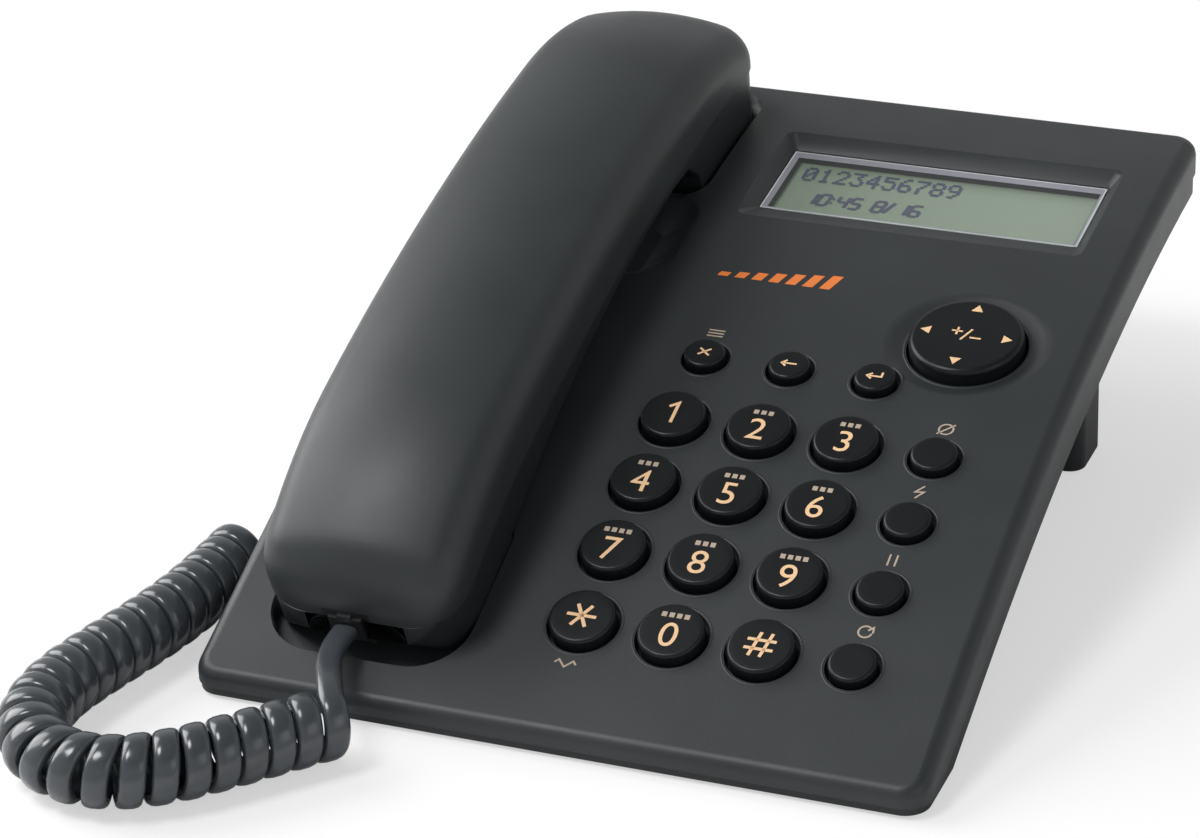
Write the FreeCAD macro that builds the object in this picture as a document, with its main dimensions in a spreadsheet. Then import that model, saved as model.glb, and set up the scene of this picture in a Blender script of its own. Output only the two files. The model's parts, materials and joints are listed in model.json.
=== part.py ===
import FreeCAD, Part
import math
import os

import Sketcher
from FreeCAD import Placement, Rotation, Vector

# A corded desk telephone: an arched base with keypad and display, a handset lying in a cradle
# along the left side, and a curly cord between them.
# Frame: +X is the user's right, +Y points away from the user, +Z is up. The origin is on the
# table, under the middle of the telephone. Millimetres.

os.makedirs("parts", exist_ok=True)
doc = FreeCAD.newDocument("CordedTelephone")

# Driving sizes. "along" is measured up the sloping top of the base from its front edge, and
# "above" is measured square to that top.
SIZES = [
    # base, as seen from the side
    ("body_width", 165.0), ("body_depth", 219.0), ("nose_height", 6.1), ("front_tilt", 22.1),
    ("straight_run", 40.0), ("arch_radius", 551.0), ("cover_depth", 8.0), ("slab_depth", 13.0),
    ("wall", 2.4), ("case_wall", 2.2), ("edge_round", 3.4), ("corner_round", 6.0), ("case_inset", 0.5),
    ("parting_height", 2.4), ("foot_drop", 0.6), ("belly_depth", 27.0), ("belly_width", 128.0),
    ("belly_start", 84.0), ("belly_end", 212.0), ("backing_top", 1.2),
    # keypad
    ("keypad_x", 18.5), ("keypad_along", 69.2), ("key_pitch", 20.0), ("key_hole", 16.3),
    ("key_gap", 0.9), ("key_rise", 2.6), ("key_travel", 1.5), ("key_edge", 0.7), ("flange_rim", 0.9),
    ("flange_thick", 1.0), ("feature_x", 58.5), ("feature_hole", 12.2), ("feature_rise", 2.0),
    ("function_along", 110.4), ("function_hole", 11.2), ("function_rise", 2.0),
    ("board_x", 24.0), ("board_width", 88.0), ("board_front", 20.0), ("board_back", 138.0),
    ("board_depth", 5.85), ("board_thick", 1.6), ("mat_thick", 0.6),
    # navigator
    ("navigator_x", 54.4), ("navigator_along", 127.6), ("navigator_hole", 27.4), ("navigator_gap", 0.7),
    ("navigator_rise", 2.4), ("rocker_width", 8.0), ("dish_width", 37.4), ("dish_depth", 1.3),
    # display
    ("display_x", 28.4), ("bezel_along", 183.8), ("bezel_width", 84.0), ("bezel_height", 42.0),
    ("bezel_depth", 3.0), ("window_along", 186.0), ("window_width", 77.5), ("window_height", 27.0),
    ("window_thick", 1.6), ("fit_gap", 0.15),
    # cradle
    ("cradle_x", -48.0), ("mouth_well_width", 46.8), ("mouth_well_front", 10.2),
    ("mouth_well_back", 54.5), ("mouth_well_depth", 5.3), ("mouth_well_round", 13.0),
    ("ear_well_width", 48.8), ("ear_well_front", 168.0), ("ear_well_back", 221.0),
    ("ear_well_depth", 8.3), ("ear_well_round", 9.0), ("well_floor", 1.6),
    ("scoop_front", 135.0), ("scoop_side", 27.2), ("scoop_depth", 6.0), ("scoop_slope", 58.0),
    # handset
    ("handset_width", 47.0), ("handset_front", 15.2), ("handset_back", 219.2), ("handset_top", 29.8),
    ("handset_crown", 2.3), ("handset_shoulder", 6.4), ("handset_parting", 12.0),
    ("handset_nose_parting", 6.0), ("handset_drop_start", 64.0), ("handset_drop", 10.5),
    ("handset_rear_start", 40.0), ("handset_rear_drop", 8.6),
    ("handset_wall", 2.2), ("handset_end_round", 12.0), ("handset_edge", 5.0),
    ("handset_nose_edge", 9.0), ("seat_gap", 0.3),
    ("handset_lift", 60.0), ("microphone_side", 13.0), ("hook_ratio", 0.05),
    # stand
    ("stand_width", 144.0), ("stand_front", 44.5), ("stand_back", 62.5), ("stand_wall", 2.4),
    ("stand_round", 4.0),
    # hook switch, sockets, screws, feet and batteries
    ("hook_x", -48.0), ("hook_along", 178.0), ("hook_width", 10.0), ("hook_length", 6.0),
    ("jack_width", 11.0), ("jack_height", 9.6), ("jack_depth", 15.0), ("jack_raise", 0.6),
    ("plug_width", 7.7), ("plug_height", 6.6), ("plug_length", 12.0), ("plug_proud", 1.0), ("side_jack_along", 106.0),
    ("line_jack_x", 30.0), ("handset_jack_x", -49.6), ("handset_jack_above", 4.6),
    ("post_width", 8.0), ("post_inset", 9.0),
    ("post_front", 64.0), ("post_middle", 122.0), ("post_back", 215.0), ("screw_width", 3.0),
    ("screw_head_width", 5.6), ("screw_head", 2.0), ("case_screw", 9.0), ("handset_screw", 10.0),
    ("sounder_x", 44.0), ("sounder_along", 156.0), ("sounder_width", 26.0), ("foot_width", 11.0),
    ("foot_sink", 1.0), ("foot_inset", 20.0), ("battery_x", -4.0), ("battery_along", 118.0),
    ("battery_width", 60.0), ("battery_height", 50.0), ("cell_width", 14.2), ("cell_length", 50.0),
    # cord
    ("cord_width", 4.6), ("coil_width", 16.5), ("coil_pitch", 5.6), ("coil_gap", 0.6), ("cord_lift", 0.05),
    ("cord_exit", 6.0),
]

sheet = doc.addObject("Spreadsheet::Sheet", "Sizes")
for row, (alias, value) in enumerate(SIZES, start=1):
    sheet.set("A%d" % row, alias)
    sheet.set("B%d" % row, str(value))
    sheet.setAlias("B%d" % row, alias)
doc.recompute()


def size(alias):
    return float(sheet.get(alias))


class Arch:
    """The side line of the base's top: a straight run, then one long arc towards the back."""

    def __init__(self):
        self.start = (-size("body_depth") / 2, size("nose_height"))
        self.tilt = math.radians(size("front_tilt"))
        self.straight = size("straight_run")
        self.radius = size("arch_radius")
        self.knee = (self.start[0] + self.straight * math.cos(self.tilt),
                     self.start[1] + self.straight * math.sin(self.tilt))
        self.centre = (self.knee[0] + self.radius * math.sin(self.tilt),
                       self.knee[1] - self.radius * math.cos(self.tilt))

    def slope(self, along):
        return self.tilt - max(0.0, along - self.straight) / self.radius

    def point(self, along, above=0.0):
        slope = self.slope(along)
        if along <= self.straight:
            y = self.start[0] + along * math.cos(slope)
            z = self.start[1] + along * math.sin(slope)
        else:
            y = self.centre[0] - self.radius * math.sin(slope)
            z = self.centre[1] + self.radius * math.cos(slope)
        return (y - above * math.sin(slope), z + above * math.cos(slope))

    def alongAt(self, y, above=0.0):
        low, high = -60.0, 320.0
        for _ in range(60):
            middle = (low + high) / 2
            if self.point(middle, above)[0] < y:
                low = middle
            else:
                high = middle
        return low

    def run(self, first, last, above):
        """Segments of the top's line from first to last (either way), moved out by above."""
        if first > last:
            return [segment[::-1] for segment in self.run(last, first, above)[::-1]]
        segments = []
        if first < self.straight:
            segments.append((self.point(first, above), self.point(min(last, self.straight), above)))
        if last > self.straight:
            begin = max(first, self.straight)
            segments.append((self.point(begin, above), self.point((begin + last) / 2, above),
                             self.point(last, above)))
        return segments

    def frame(self, x, along, above=0.0):
        y, z = self.point(along, above)
        return Placement(Vector(x, y, z), Rotation(Vector(1, 0, 0), math.degrees(self.slope(along))))


arch = Arch()


# Small helpers for bodies, sketches and features

def lifted(height):
    return Placement(Vector(0, 0, height), Rotation())


def newBody(label, placement=None):
    body = doc.addObject("PartDesign::Body", label)
    body.Label = label
    if placement is not None:
        body.Placement = placement
    return body


def sketchOn(body, name, role="XY_Plane", offset=None):
    plane = [item for item in body.Origin.OriginFeatures if item.Role == role][0]
    sketch = body.newObject("Sketcher::SketchObject", name)
    sketch.AttachmentSupport = [(plane, "")]
    sketch.MapMode = "FlatFace"
    if offset is not None:
        sketch.AttachmentOffset = offset
    return sketch


def drawOutline(sketch, segments):
    """Segments are lines (two points) or arcs (three points), head to tail."""
    for segment in segments:
        points = [Vector(a, b, 0) for a, b in segment]
        if len(points) == 2:
            sketch.addGeometry(Part.LineSegment(points[0], points[1]), False)
        else:
            sketch.addGeometry(Part.Arc(*points), False)


def polygon(points):
    return [(points[i], points[(i + 1) % len(points)]) for i in range(len(points))]


def rectangle(halfAcross, halfUp):
    return polygon([(-halfAcross, -halfUp), (halfAcross, -halfUp),
                    (halfAcross, halfUp), (-halfAcross, halfUp)])


def joinUp(*chains):
    """Chains of segments in order, with straight lines across the gaps between them."""
    result = []
    for chain in chains:
        for segment in chain:
            if result and math.dist(result[-1][-1], segment[0]) > 1e-7:
                result.append((result[-1][-1], segment[0]))
            result.append(segment)
    if math.dist(result[-1][-1], result[0][0]) > 1e-7:
        result.append((result[-1][-1], result[0][0]))
    return result


def roundedBox(x0, x1, y0, y1, front, back=None):
    """Outline of a box with rounded corners: front radius at y0, back radius at y1."""
    back = front if back is None else back
    corner = math.sqrt(0.5)
    segments = []
    for cx, cy, radius, start in ((x1 - front, y0 + front, front, -90), (x1 - back, y1 - back, back, 0),
                                  (x0 + back, y1 - back, back, 90), (x0 + front, y0 + front, front, 180)):
        a, b = math.radians(start), math.radians(start + 90)
        middle = math.radians(start + 45)
        segments.append(tuple((cx + radius * math.cos(t), cy + radius * math.sin(t)) for t in (a, middle, b)))
    return joinUp(segments)


def addCircle(sketch, x, y, diameter, expression=None):
    index = sketch.addGeometry(Part.Circle(Vector(x, y, 0), Vector(0, 0, 1), diameter / 2), False)
    if expression:
        constraint = sketch.addConstraint(Sketcher.Constraint("Diameter", index, diameter))
        sketch.setExpression("Constraints[%d]" % constraint, expression)


def extrude(body, kind, sketch, length, expression=None, both=False, backwards=False, taper=0.0):
    feature = body.newObject("PartDesign::" + kind, sketch.Label + kind)
    feature.Profile = sketch
    feature.Length = length
    if both:
        feature.SideType = "Symmetric"
    if backwards:
        feature.Reversed = True
    if taper:
        feature.TaperAngle = taper
    if expression:
        feature.setExpression("Length", expression)
    doc.recompute()
    return feature


def cutBox(body, name, x0, x1, segments):
    """Pocket a side outline (in Y and Z) over the stretch from x0 to x1."""
    sketch = sketchOn(body, name, "YZ_Plane", lifted((x0 + x1) / 2))
    drawOutline(sketch, segments)
    return extrude(body, "Pocket", sketch, x1 - x0, both=True)


def padBox(body, name, x0, x1, segments):
    sketch = sketchOn(body, name, "YZ_Plane", lifted((x0 + x1) / 2))
    drawOutline(sketch, segments)
    return extrude(body, "Pad", sketch, x1 - x0, both=True)


def trimPlan(body, name, x0, x1, y0, y1, front, back, offset=None, reach=160.0):
    """Cut away what lies outside a rounded plan outline."""
    frame = offset if offset is not None else Placement()
    far = 60.0
    sketch = sketchOn(body, name, "XY_Plane", frame.multiply(lifted(-reach / 2)))
    drawOutline(sketch, polygon([(x0 - far, y0 - far), (x1 + far, y0 - far), (x1 + far, y1 + far),
                                 (x0 - far, y1 + far)]))
    drawOutline(sketch, roundedBox(x0, x1, y0, y1, front, back))
    return extrude(body, "Pocket", sketch, reach, backwards=True)


def breakEdges(body, length, wanted, expression=None):
    """Bevel the edges of the body's tip for which wanted(edge) holds."""
    base = body.Tip
    names = ["Edge%d" % (i + 1) for i, edge in enumerate(base.Shape.Edges) if wanted(edge)]
    feature = body.newObject("PartDesign::Chamfer", base.Label + "Bevel")
    feature.Base = (base, names)
    feature.Size = length
    if expression:
        feature.setExpression("Size", expression)
    doc.recompute()
    return feature


def roundEdges(body, radius, wanted, expression=None):
    """Fillet the edges of the body's tip for which wanted(edge) holds."""
    base = body.Tip
    names = ["Edge%d" % (i + 1) for i, edge in enumerate(base.Shape.Edges) if wanted(edge)]
    feature = body.newObject("PartDesign::Fillet", base.Label + "Round")
    feature.Base = (base, names)
    feature.Radius = radius
    if expression:
        feature.setExpression("Radius", expression)
    doc.recompute()
    return feature


def edgeMiddle(edge):
    return edge.valueAt((edge.FirstParameter + edge.LastParameter) / 2)


def aboveTop(point):
    """How far a point lies from the line of the base's top."""
    return math.hypot(point.y - arch.centre[0], point.z - arch.centre[1]) - arch.radius \
        if point.y > arch.knee[0] else \
        (point.z - arch.start[1]) * math.cos(arch.tilt) - (point.y - arch.start[0]) * math.sin(arch.tilt)


def boxNode(label, width, depth, height, placement, rounding=0.0):
    """A block centred on its placement, with upright edges rounded."""
    body = newBody(label, placement)
    sketch = sketchOn(body, label + "Plan")
    if rounding:
        drawOutline(sketch, roundedBox(-width / 2, width / 2, -depth / 2, depth / 2, rounding))
    else:
        drawOutline(sketch, polygon([(-width / 2, -depth / 2), (width / 2, -depth / 2),
                                     (width / 2, depth / 2), (-width / 2, depth / 2)]))
    extrude(body, "Pad", sketch, height)
    return body


halfWidth = size("body_width") / 2
halfDepth = size("body_depth") / 2
wall = size("wall")
keyRows = [("top", 1), ("upper", 0), ("lower", -1), ("bottom", -2)]
keyColumns = (-1, 0, 1)


def keyX(column):
    return size("keypad_x") + column * size("key_pitch")


def rowAlong(row):
    return size("keypad_along") + row * size("key_pitch")


# Top cover

def coverOutline():
    """Side outline of the cover: top line above, parting line below."""
    depth = size("cover_depth")
    last = arch.alongAt(halfDepth)
    top = arch.run(0.0, last, 0.0)
    lastUnder = arch.alongAt(halfDepth, -depth)
    firstUnder = partingStart()
    under = arch.run(lastUnder, firstUnder, -depth)
    low = size("parting_height")
    return joinUp(top, under, [((under[-1][-1][0], low), (-halfDepth, low))])


def partingStart():
    """Where the parting line comes down to its height along the front."""
    low, high = 0.0, size("straight_run")
    for _ in range(50):
        middle = (low + high) / 2
        if arch.point(middle, -size("cover_depth"))[1] < size("parting_height"):
            low = middle
        else:
            high = middle
    return high


def makeCover():
    body = newBody("top_cover")
    outline = sketchOn(body, "coverSide", "YZ_Plane")
    drawOutline(outline, coverOutline())
    extrude(body, "Pad", outline, size("body_width"), "Sizes.body_width", both=True)
    trimPlan(body, "coverPlan", -halfWidth, halfWidth, -halfDepth, halfDepth, size("corner_round"),
             size("corner_round"))
    roundEdges(body, size("edge_round"),
               lambda edge: abs(aboveTop(edgeMiddle(edge))) < 0.02 and
               all(abs(aboveTop(vertex.Point)) < 0.05 for vertex in edge.Vertexes) and
               not (edge.Curve.TypeId == "Part::GeomLine" and abs(edge.Vertexes[0].X + edge.Vertexes[1].X) < 1
                    and abs(edgeMiddle(edge).y) < halfDepth - 1),
               "Sizes.edge_round")

    # the hollow underneath
    last = arch.alongAt(halfDepth - wall, -wall)
    first = arch.alongAt(-halfDepth + wall, -wall)
    ceiling = arch.run(first, last, -wall)
    cutBox(body, "coverHollow", -halfWidth + wall, halfWidth - wall,
           joinUp(ceiling, [((halfDepth - wall, -20.0), (-halfDepth + wall, -20.0))]))

    # wells for the two ends of the handset, the finger scoop between them, and the display's bezel
    cradle = size("cradle_x")
    addWell(body, "mouthWell", cradle, size("mouth_well_front"), size("mouth_well_back"),
            size("mouth_well_width"), size("mouth_well_depth"), size("mouth_well_round"), 7.0)
    addWell(body, "earWell", cradle, size("ear_well_front"), size("ear_well_back"),
            size("ear_well_width"), size("ear_well_depth"), size("ear_well_round"), size("ear_well_round"))
    addScoop(body, cradle)
    addBezel(body)

    # openings for the keys
    for name, row in keyRows:
        sketch = sketchOn(body, name + "RowHoles", offset=arch.frame(0, rowAlong(row), 3.0))
        for column in keyColumns:
            addCircle(sketch, keyX(column), 0, size("key_hole"), "Sizes.key_hole")
        addCircle(sketch, size("feature_x"), 0, size("feature_hole"), "Sizes.feature_hole")
        extrude(body, "Pocket", sketch, 8.0)
    sketch = sketchOn(body, "functionHoles", offset=arch.frame(0, size("function_along"), 3.0))
    for column in keyColumns:
        addCircle(sketch, keyX(column), 0, size("function_hole"), "Sizes.function_hole")
    extrude(body, "Pocket", sketch, 8.0)

    # the navigator's dished seat and opening
    dish = arch.frame(size("navigator_x"), size("navigator_along"))
    loft(body, "SubtractiveLoft", "navigatorDish",
         [(dish.multiply(lifted(1.0)), size("dish_width") + 8.0),
          (dish.multiply(lifted(-size("dish_depth"))), size("navigator_hole") + 2.0)])
    above = arch.frame(size("navigator_x"), size("navigator_along"), 3.0)
    sketch = sketchOn(body, "navigatorHole", offset=above)
    addCircle(sketch, 0, 0, size("navigator_hole"), "Sizes.navigator_hole")
    extrude(body, "Pocket", sketch, 8.0)
    return body


def loft(body, kind, name, rings):
    sketches = []
    for i, (offset, diameter) in enumerate(rings):
        sketch = sketchOn(body, "%s%d" % (name, i), offset=offset)
        addCircle(sketch, 0, 0, diameter)
        sketches.append(sketch)
    feature = body.newObject("PartDesign::" + kind, name)
    feature.Profile = sketches[0]
    feature.Sections = sketches[1:]
    doc.recompute()
    return feature


def addWell(body, name, x, front, back, width, depth, frontRound, backRound):
    """A pan hung under the cover, then its hollow cut from above."""
    middle = (front + back) / 2
    half = (back - front) / 2
    skin = size("wall")
    outer = sketchOn(body, name + "Pan", offset=arch.frame(x, middle, -depth - size("well_floor")))
    drawOutline(outer, roundedBox(-width / 2 - skin, width / 2 + skin, -half - skin, half + skin,
                                  frontRound + skin, backRound + skin))
    extrude(body, "Pad", outer, depth + size("well_floor") - size("backing_top"))
    inner = sketchOn(body, name + "Hollow", offset=arch.frame(x, middle, 2.0))
    drawOutline(inner, roundedBox(-width / 2, width / 2, -half, half, frontRound, backRound))
    extrude(body, "Pocket", inner, depth + 2.0)


def addScoop(body, x):
    """Room for the fingers under the handle: a bowl with sloping sides."""
    front, back = size("scoop_front"), size("ear_well_front") + 3.0
    side, depth, skin = size("scoop_side"), size("scoop_depth"), size("wall")
    middle = (front + back) / 2
    half = (back - front) / 2
    outer = sketchOn(body, "scoopPan", offset=arch.frame(x, middle, -depth - size("well_floor")))
    drawOutline(outer, roundedBox(-side, side, -half, half, 8.0))
    extrude(body, "Pad", outer, depth + size("well_floor") - size("backing_top"))
    inset = depth * math.tan(math.radians(size("scoop_slope")))
    rim = sketchOn(body, "scoopRim", offset=arch.frame(x, middle, 0.4))
    grow = 0.4 * math.tan(math.radians(size("scoop_slope")))
    drawOutline(rim, roundedBox(-side - grow, side + grow, -half - grow, half + grow, 12.0))
    floor = sketchOn(body, "scoopFloor", offset=arch.frame(x, middle, -depth))
    drawOutline(floor, roundedBox(-side + inset, side - inset, -half + inset, half - inset, 12.0 - inset))
    feature = body.newObject("PartDesign::SubtractiveLoft", "scoop")
    feature.Profile = rim
    feature.Sections = [floor]
    doc.recompute()


def addBezel(body):
    """The display's sloping frame, with the window's opening in its floor."""
    skin = size("wall")
    width, height, depth = size("bezel_width"), size("bezel_height"), size("bezel_depth")
    centre = size("bezel_along")
    backing = sketchOn(body, "bezelBacking", offset=arch.frame(size("display_x"), centre, -depth - skin))
    drawOutline(backing, roundedBox(-width / 2 - 1, width / 2 + 1, -height / 2 - 1, height / 2 + 1, 3.0))
    extrude(body, "Pad", backing, depth + skin - size("backing_top"))
    rise = 0.5
    rim = sketchOn(body, "bezelRim", offset=arch.frame(size("display_x"), centre, rise))
    rimX, rimY = width / 2 + rise, height / 2 + rise
    drawOutline(rim, roundedBox(-rimX, rimX, -rimY, rimY, 2.6))
    shift = size("window_along") - centre
    floorWidth, floorHeight = size("window_width") + 0.6, size("window_height") + 0.6
    floor = sketchOn(body, "bezelFloor", offset=arch.frame(size("display_x"), centre, -depth))
    drawOutline(floor, roundedBox(-floorWidth / 2, floorWidth / 2, shift - floorHeight / 2,
                                  shift + floorHeight / 2, 1.0))
    feature = body.newObject("PartDesign::SubtractiveLoft", "bezelSlopes")
    feature.Profile = rim
    feature.Sections = [floor]
    doc.recompute()
    opening = sketchOn(body, "windowOpening", offset=arch.frame(size("display_x"), centre, 0.0))
    gap = size("fit_gap")
    drawOutline(opening, roundedBox(-size("window_width") / 2 - gap, size("window_width") / 2 + gap,
                                    shift - size("window_height") / 2 - gap,
                                    shift + size("window_height") / 2 + gap, 0.8 + gap))
    extrude(body, "Pocket", opening, 12.0)


topCover = makeCover()


# Places that several pieces share

def facing(origin, outward, up):
    """A frame whose third axis points outward and whose second axis points up."""
    return Placement(origin, Rotation(up.cross(outward), up, outward, "ZXY"))


def jackBelow():
    """Depth of the base's two sockets under the top, a little clear of the belly's floor."""
    under = size("jack_height") / 2 + size("fit_gap") + size("jack_raise")
    return size("belly_depth") - size("case_wall") - under


def sideJackFrame():
    """The socket for the curly cord, in the belly's left wall."""
    frame = arch.frame(-size("belly_width") / 2, size("side_jack_along"), -jackBelow())
    return facing(frame.Base, Vector(-1, 0, 0), frame.Rotation.multVec(Vector(0, 0, 1)))


def lineJackFrame():
    """The socket for the line, in the belly's back wall."""
    frame = arch.frame(size("line_jack_x"), size("belly_end"), -jackBelow())
    turn = frame.Rotation
    return facing(frame.Base, turn.multVec(Vector(0, 1, 0)), turn.multVec(Vector(0, 0, 1)))


def handsetJackFrame():
    frame = arch.frame(size("handset_jack_x"), size("handset_front"), size("handset_jack_above"))
    turn = frame.Rotation
    return facing(frame.Base, turn.multVec(Vector(0, -1, 0)), turn.multVec(Vector(0, 0, 1)))


def postPlaces():
    side = halfWidth - size("post_inset")
    return [(-side, size("post_front")), (side, size("post_front")), (-side, size("post_middle")),
            (side, size("post_back"))]


def frontFootPlaces():
    side = halfWidth - size("foot_inset")
    y = -halfDepth + size("foot_width") / 2 + 3.0
    return [(-side, y), (side, y)]


# How far the case's posts reach past the parting line
postRise = 1.0


# Bottom case

def underLine(above, front, back, lowest):
    """The underside's line from front to back: level near the front, then along the arch."""
    start = size("straight_run")
    low, high = 0.0, start
    for _ in range(50):
        middle = (low + high) / 2
        if arch.point(middle, above)[1] < lowest:
            low = middle
        else:
            high = middle
    rising = arch.run(low, arch.alongAt(back, above), above)
    return [((front, lowest), rising[0][0])] + rising


def makeCase():
    body = newBody("bottom_case")
    inset = size("case_inset")
    skin = size("case_wall")
    slab = size("slab_depth")
    lowest, low = size("foot_drop"), size("parting_height")
    half = halfWidth - inset
    back = halfDepth - inset
    parting = arch.run(arch.alongAt(back, -size("cover_depth")), partingStart(), -size("cover_depth"))
    under = underLine(-slab, -back, back, lowest)
    padBox(body, "caseSide", -half, half,
           joinUp(under, parting, [((parting[-1][-1][0], low), (-back, low))]))
    trimPlan(body, "casePlan", -half, half, -back, back, size("corner_round") - inset,
             size("corner_round") - inset)

    # the belly that holds the works and the batteries
    bellyHalf = size("belly_width") / 2
    first, last = size("belly_start"), size("belly_end")
    belly = size("belly_depth")
    padBox(body, "bellySide", -bellyHalf, bellyHalf,
           joinUp(arch.run(first, last, -slab + 1.0), arch.run(last, first + 10.0, -belly)))
    cutBox(body, "caseHollow", -half + skin, half - skin,
           joinUp(underLine(-slab + skin, -back + skin, back - skin, lowest + skin),
                  [((back - skin, 120.0), (-back + skin, 120.0))]))
    cutBox(body, "bellyHollow", -bellyHalf + skin, bellyHalf - skin,
           joinUp(arch.run(first + skin, last - skin, -slab + 4.0),
                  arch.run(last - skin, first + 10.0 + skin, -belly + skin)))

    # battery opening in the belly's floor
    opening = sketchOn(body, "batteryOpening",
                       offset=arch.frame(size("battery_x"), size("battery_along"), -belly - 4.0))
    width, height = size("battery_width"), size("battery_height")
    drawOutline(opening, roundedBox(-width / 2, width / 2, -height / 2, height / 2, 1.5))
    extrude(body, "Pocket", opening, 10.0, backwards=True)

    # walls round the batteries, and slots for the two sockets
    floor = arch.frame(size("battery_x"), size("battery_along"), -belly + 1.0)
    walls = sketchOn(body, "batteryWalls", offset=floor)
    thick = 1.6
    drawOutline(walls, roundedBox(-width / 2 - thick, width / 2 + thick, -height / 2 - thick,
                                  height / 2 + thick, 1.5 + thick))
    drawOutline(walls, roundedBox(-width / 2, width / 2, -height / 2, height / 2, 1.5))
    extrude(body, "Pad", walls, size("cell_width"))
    gap = size("fit_gap")
    jackWidth, jackHeight = size("jack_width") + 2 * gap, size("jack_height") + 2 * gap
    for name, frame in (("sideJack", sideJackFrame()), ("lineJack", lineJackFrame())):
        slot = sketchOn(body, name + "Slot", offset=frame)
        drawOutline(slot, polygon([(-jackWidth / 2, -jackHeight / 2), (jackWidth / 2, -jackHeight / 2),
                                   (jackWidth / 2, jackHeight / 2), (-jackWidth / 2, jackHeight / 2)]))
        extrude(body, "Pocket", slot, 8.0, both=True)

    # posts that the cover's screws go through
    for i, (x, along) in enumerate(postPlaces()):
        post = sketchOn(body, "post%d" % i, offset=arch.frame(x, along, -slab + 0.5))
        addCircle(post, 0, 0, size("post_width"))
        extrude(body, "Pad", post, slab - size("cover_depth") - 0.5 + postRise)
        bore = sketchOn(body, "postBore%d" % i, offset=arch.frame(x, along, -slab - 3.0))
        addCircle(bore, 0, 0, size("screw_width") + 0.4)
        extrude(body, "Pocket", bore, 14.0, backwards=True)
        seat = sketchOn(body, "postSeat%d" % i, offset=arch.frame(x, along, -slab + size("screw_head") + 0.4))
        addCircle(seat, 0, 0, size("screw_head_width") + 0.6)
        extrude(body, "Pocket", seat, 8.0)

    # round seats for the two front feet
    for i, (x, y) in enumerate(frontFootPlaces()):
        place = Placement(Vector(x, y, lowest + size("foot_sink")), Rotation())
        seat = sketchOn(body, "footSeat%d" % i, offset=place)
        addCircle(seat, 0, 0, size("foot_width") + 0.4)
        extrude(body, "Pocket", seat, 5.0)
    return body


makeCase()


# Stand, feet and screws

def makeStand():
    body = newBody("desk_stand")
    half = size("stand_width") / 2
    front, back, skin = size("stand_front"), size("stand_back"), size("stand_wall")
    slab, belly = size("slab_depth"), size("belly_depth")
    lowest = size("foot_drop")
    gap = size("fit_gap")
    top = arch.run(arch.alongAt(front, -slab - gap), arch.alongAt(back, -slab - gap), -slab - gap)
    padBox(body, "standSide", -half, half, joinUp(top, [((back, lowest), (front, lowest))]))
    trimPlan(body, "standPlan", -half, half, front, back, size("stand_round"), size("stand_round"))
    over = arch.run(arch.alongAt(front - 5, -belly - gap), arch.alongAt(back + 5, -belly - gap), -belly - gap)
    bellyHalf = size("belly_width") / 2 + 2 * gap
    cutBox(body, "standSaddle", -bellyHalf, bellyHalf, joinUp(over, [((back + 5, 90.0), (front - 5, 90.0))]))
    cutBox(body, "standHollow", -half + skin, half - skin,
           polygon([(front + skin, lowest + skin), (back - skin, lowest + skin), (back - skin, 90.0),
                    (front + skin, 90.0)]))
    for i, (x, y) in enumerate(standFootPlaces()):
        seat = sketchOn(body, "standFootSeat%d" % i,
                        offset=Placement(Vector(x, y, lowest + size("foot_sink")), Rotation()))
        addCircle(seat, 0, 0, size("foot_width") + 0.4)
        extrude(body, "Pocket", seat, 5.0)
    return body


def standFootPlaces():
    side = size("stand_width") / 2 - size("foot_inset") / 2
    y = (size("stand_front") + size("stand_back")) / 2
    return [(-side, y), (side, y)]


def makeFeet():
    """Four soft discs, let into the case and the stand."""
    discs = []
    for i, (x, y) in enumerate(frontFootPlaces() + standFootPlaces()):
        disc = doc.addObject("Part::Cylinder", "foot%d" % i)
        disc.setExpression("Radius", "Sizes.foot_width / 2")
        disc.setExpression("Height", "Sizes.foot_drop + Sizes.foot_sink")
        disc.Placement = Placement(Vector(x, y, 0), Rotation())
        discs.append(disc)
    return group("rubber_feet", discs)


def group(label, items):
    """Separate solids that share one node."""
    result = doc.addObject("Part::Compound", label)
    result.Label = label
    result.Links = items
    doc.recompute()
    return result


def makeScrews(label, frames, length, shank, headWidth, headHeight):
    """Pan-head screws; each frame's third axis runs from the head into the threads."""
    screws = []
    for i, frame in enumerate(frames):
        head = doc.addObject("Part::Cylinder", "%sHead%d" % (label, i))
        head.Radius, head.Height = headWidth / 2, headHeight
        stem = doc.addObject("Part::Cylinder", "%sStem%d" % (label, i))
        stem.Radius, stem.Height = shank / 2, length
        screw = doc.addObject("Part::Fuse", "%sFuse%d" % (label, i))
        screw.Base, screw.Tool = head, stem
        screw.Placement = frame
        screws.append(screw)
    return group(label, screws)


makeStand()
makeFeet()
makeScrews(
    "case_screws",
    [arch.frame(x, along, -size("slab_depth") + 0.2) for x, along in postPlaces()],
    size("case_screw"), size("screw_width"), size("screw_head_width"), size("screw_head"))


# Display

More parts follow.
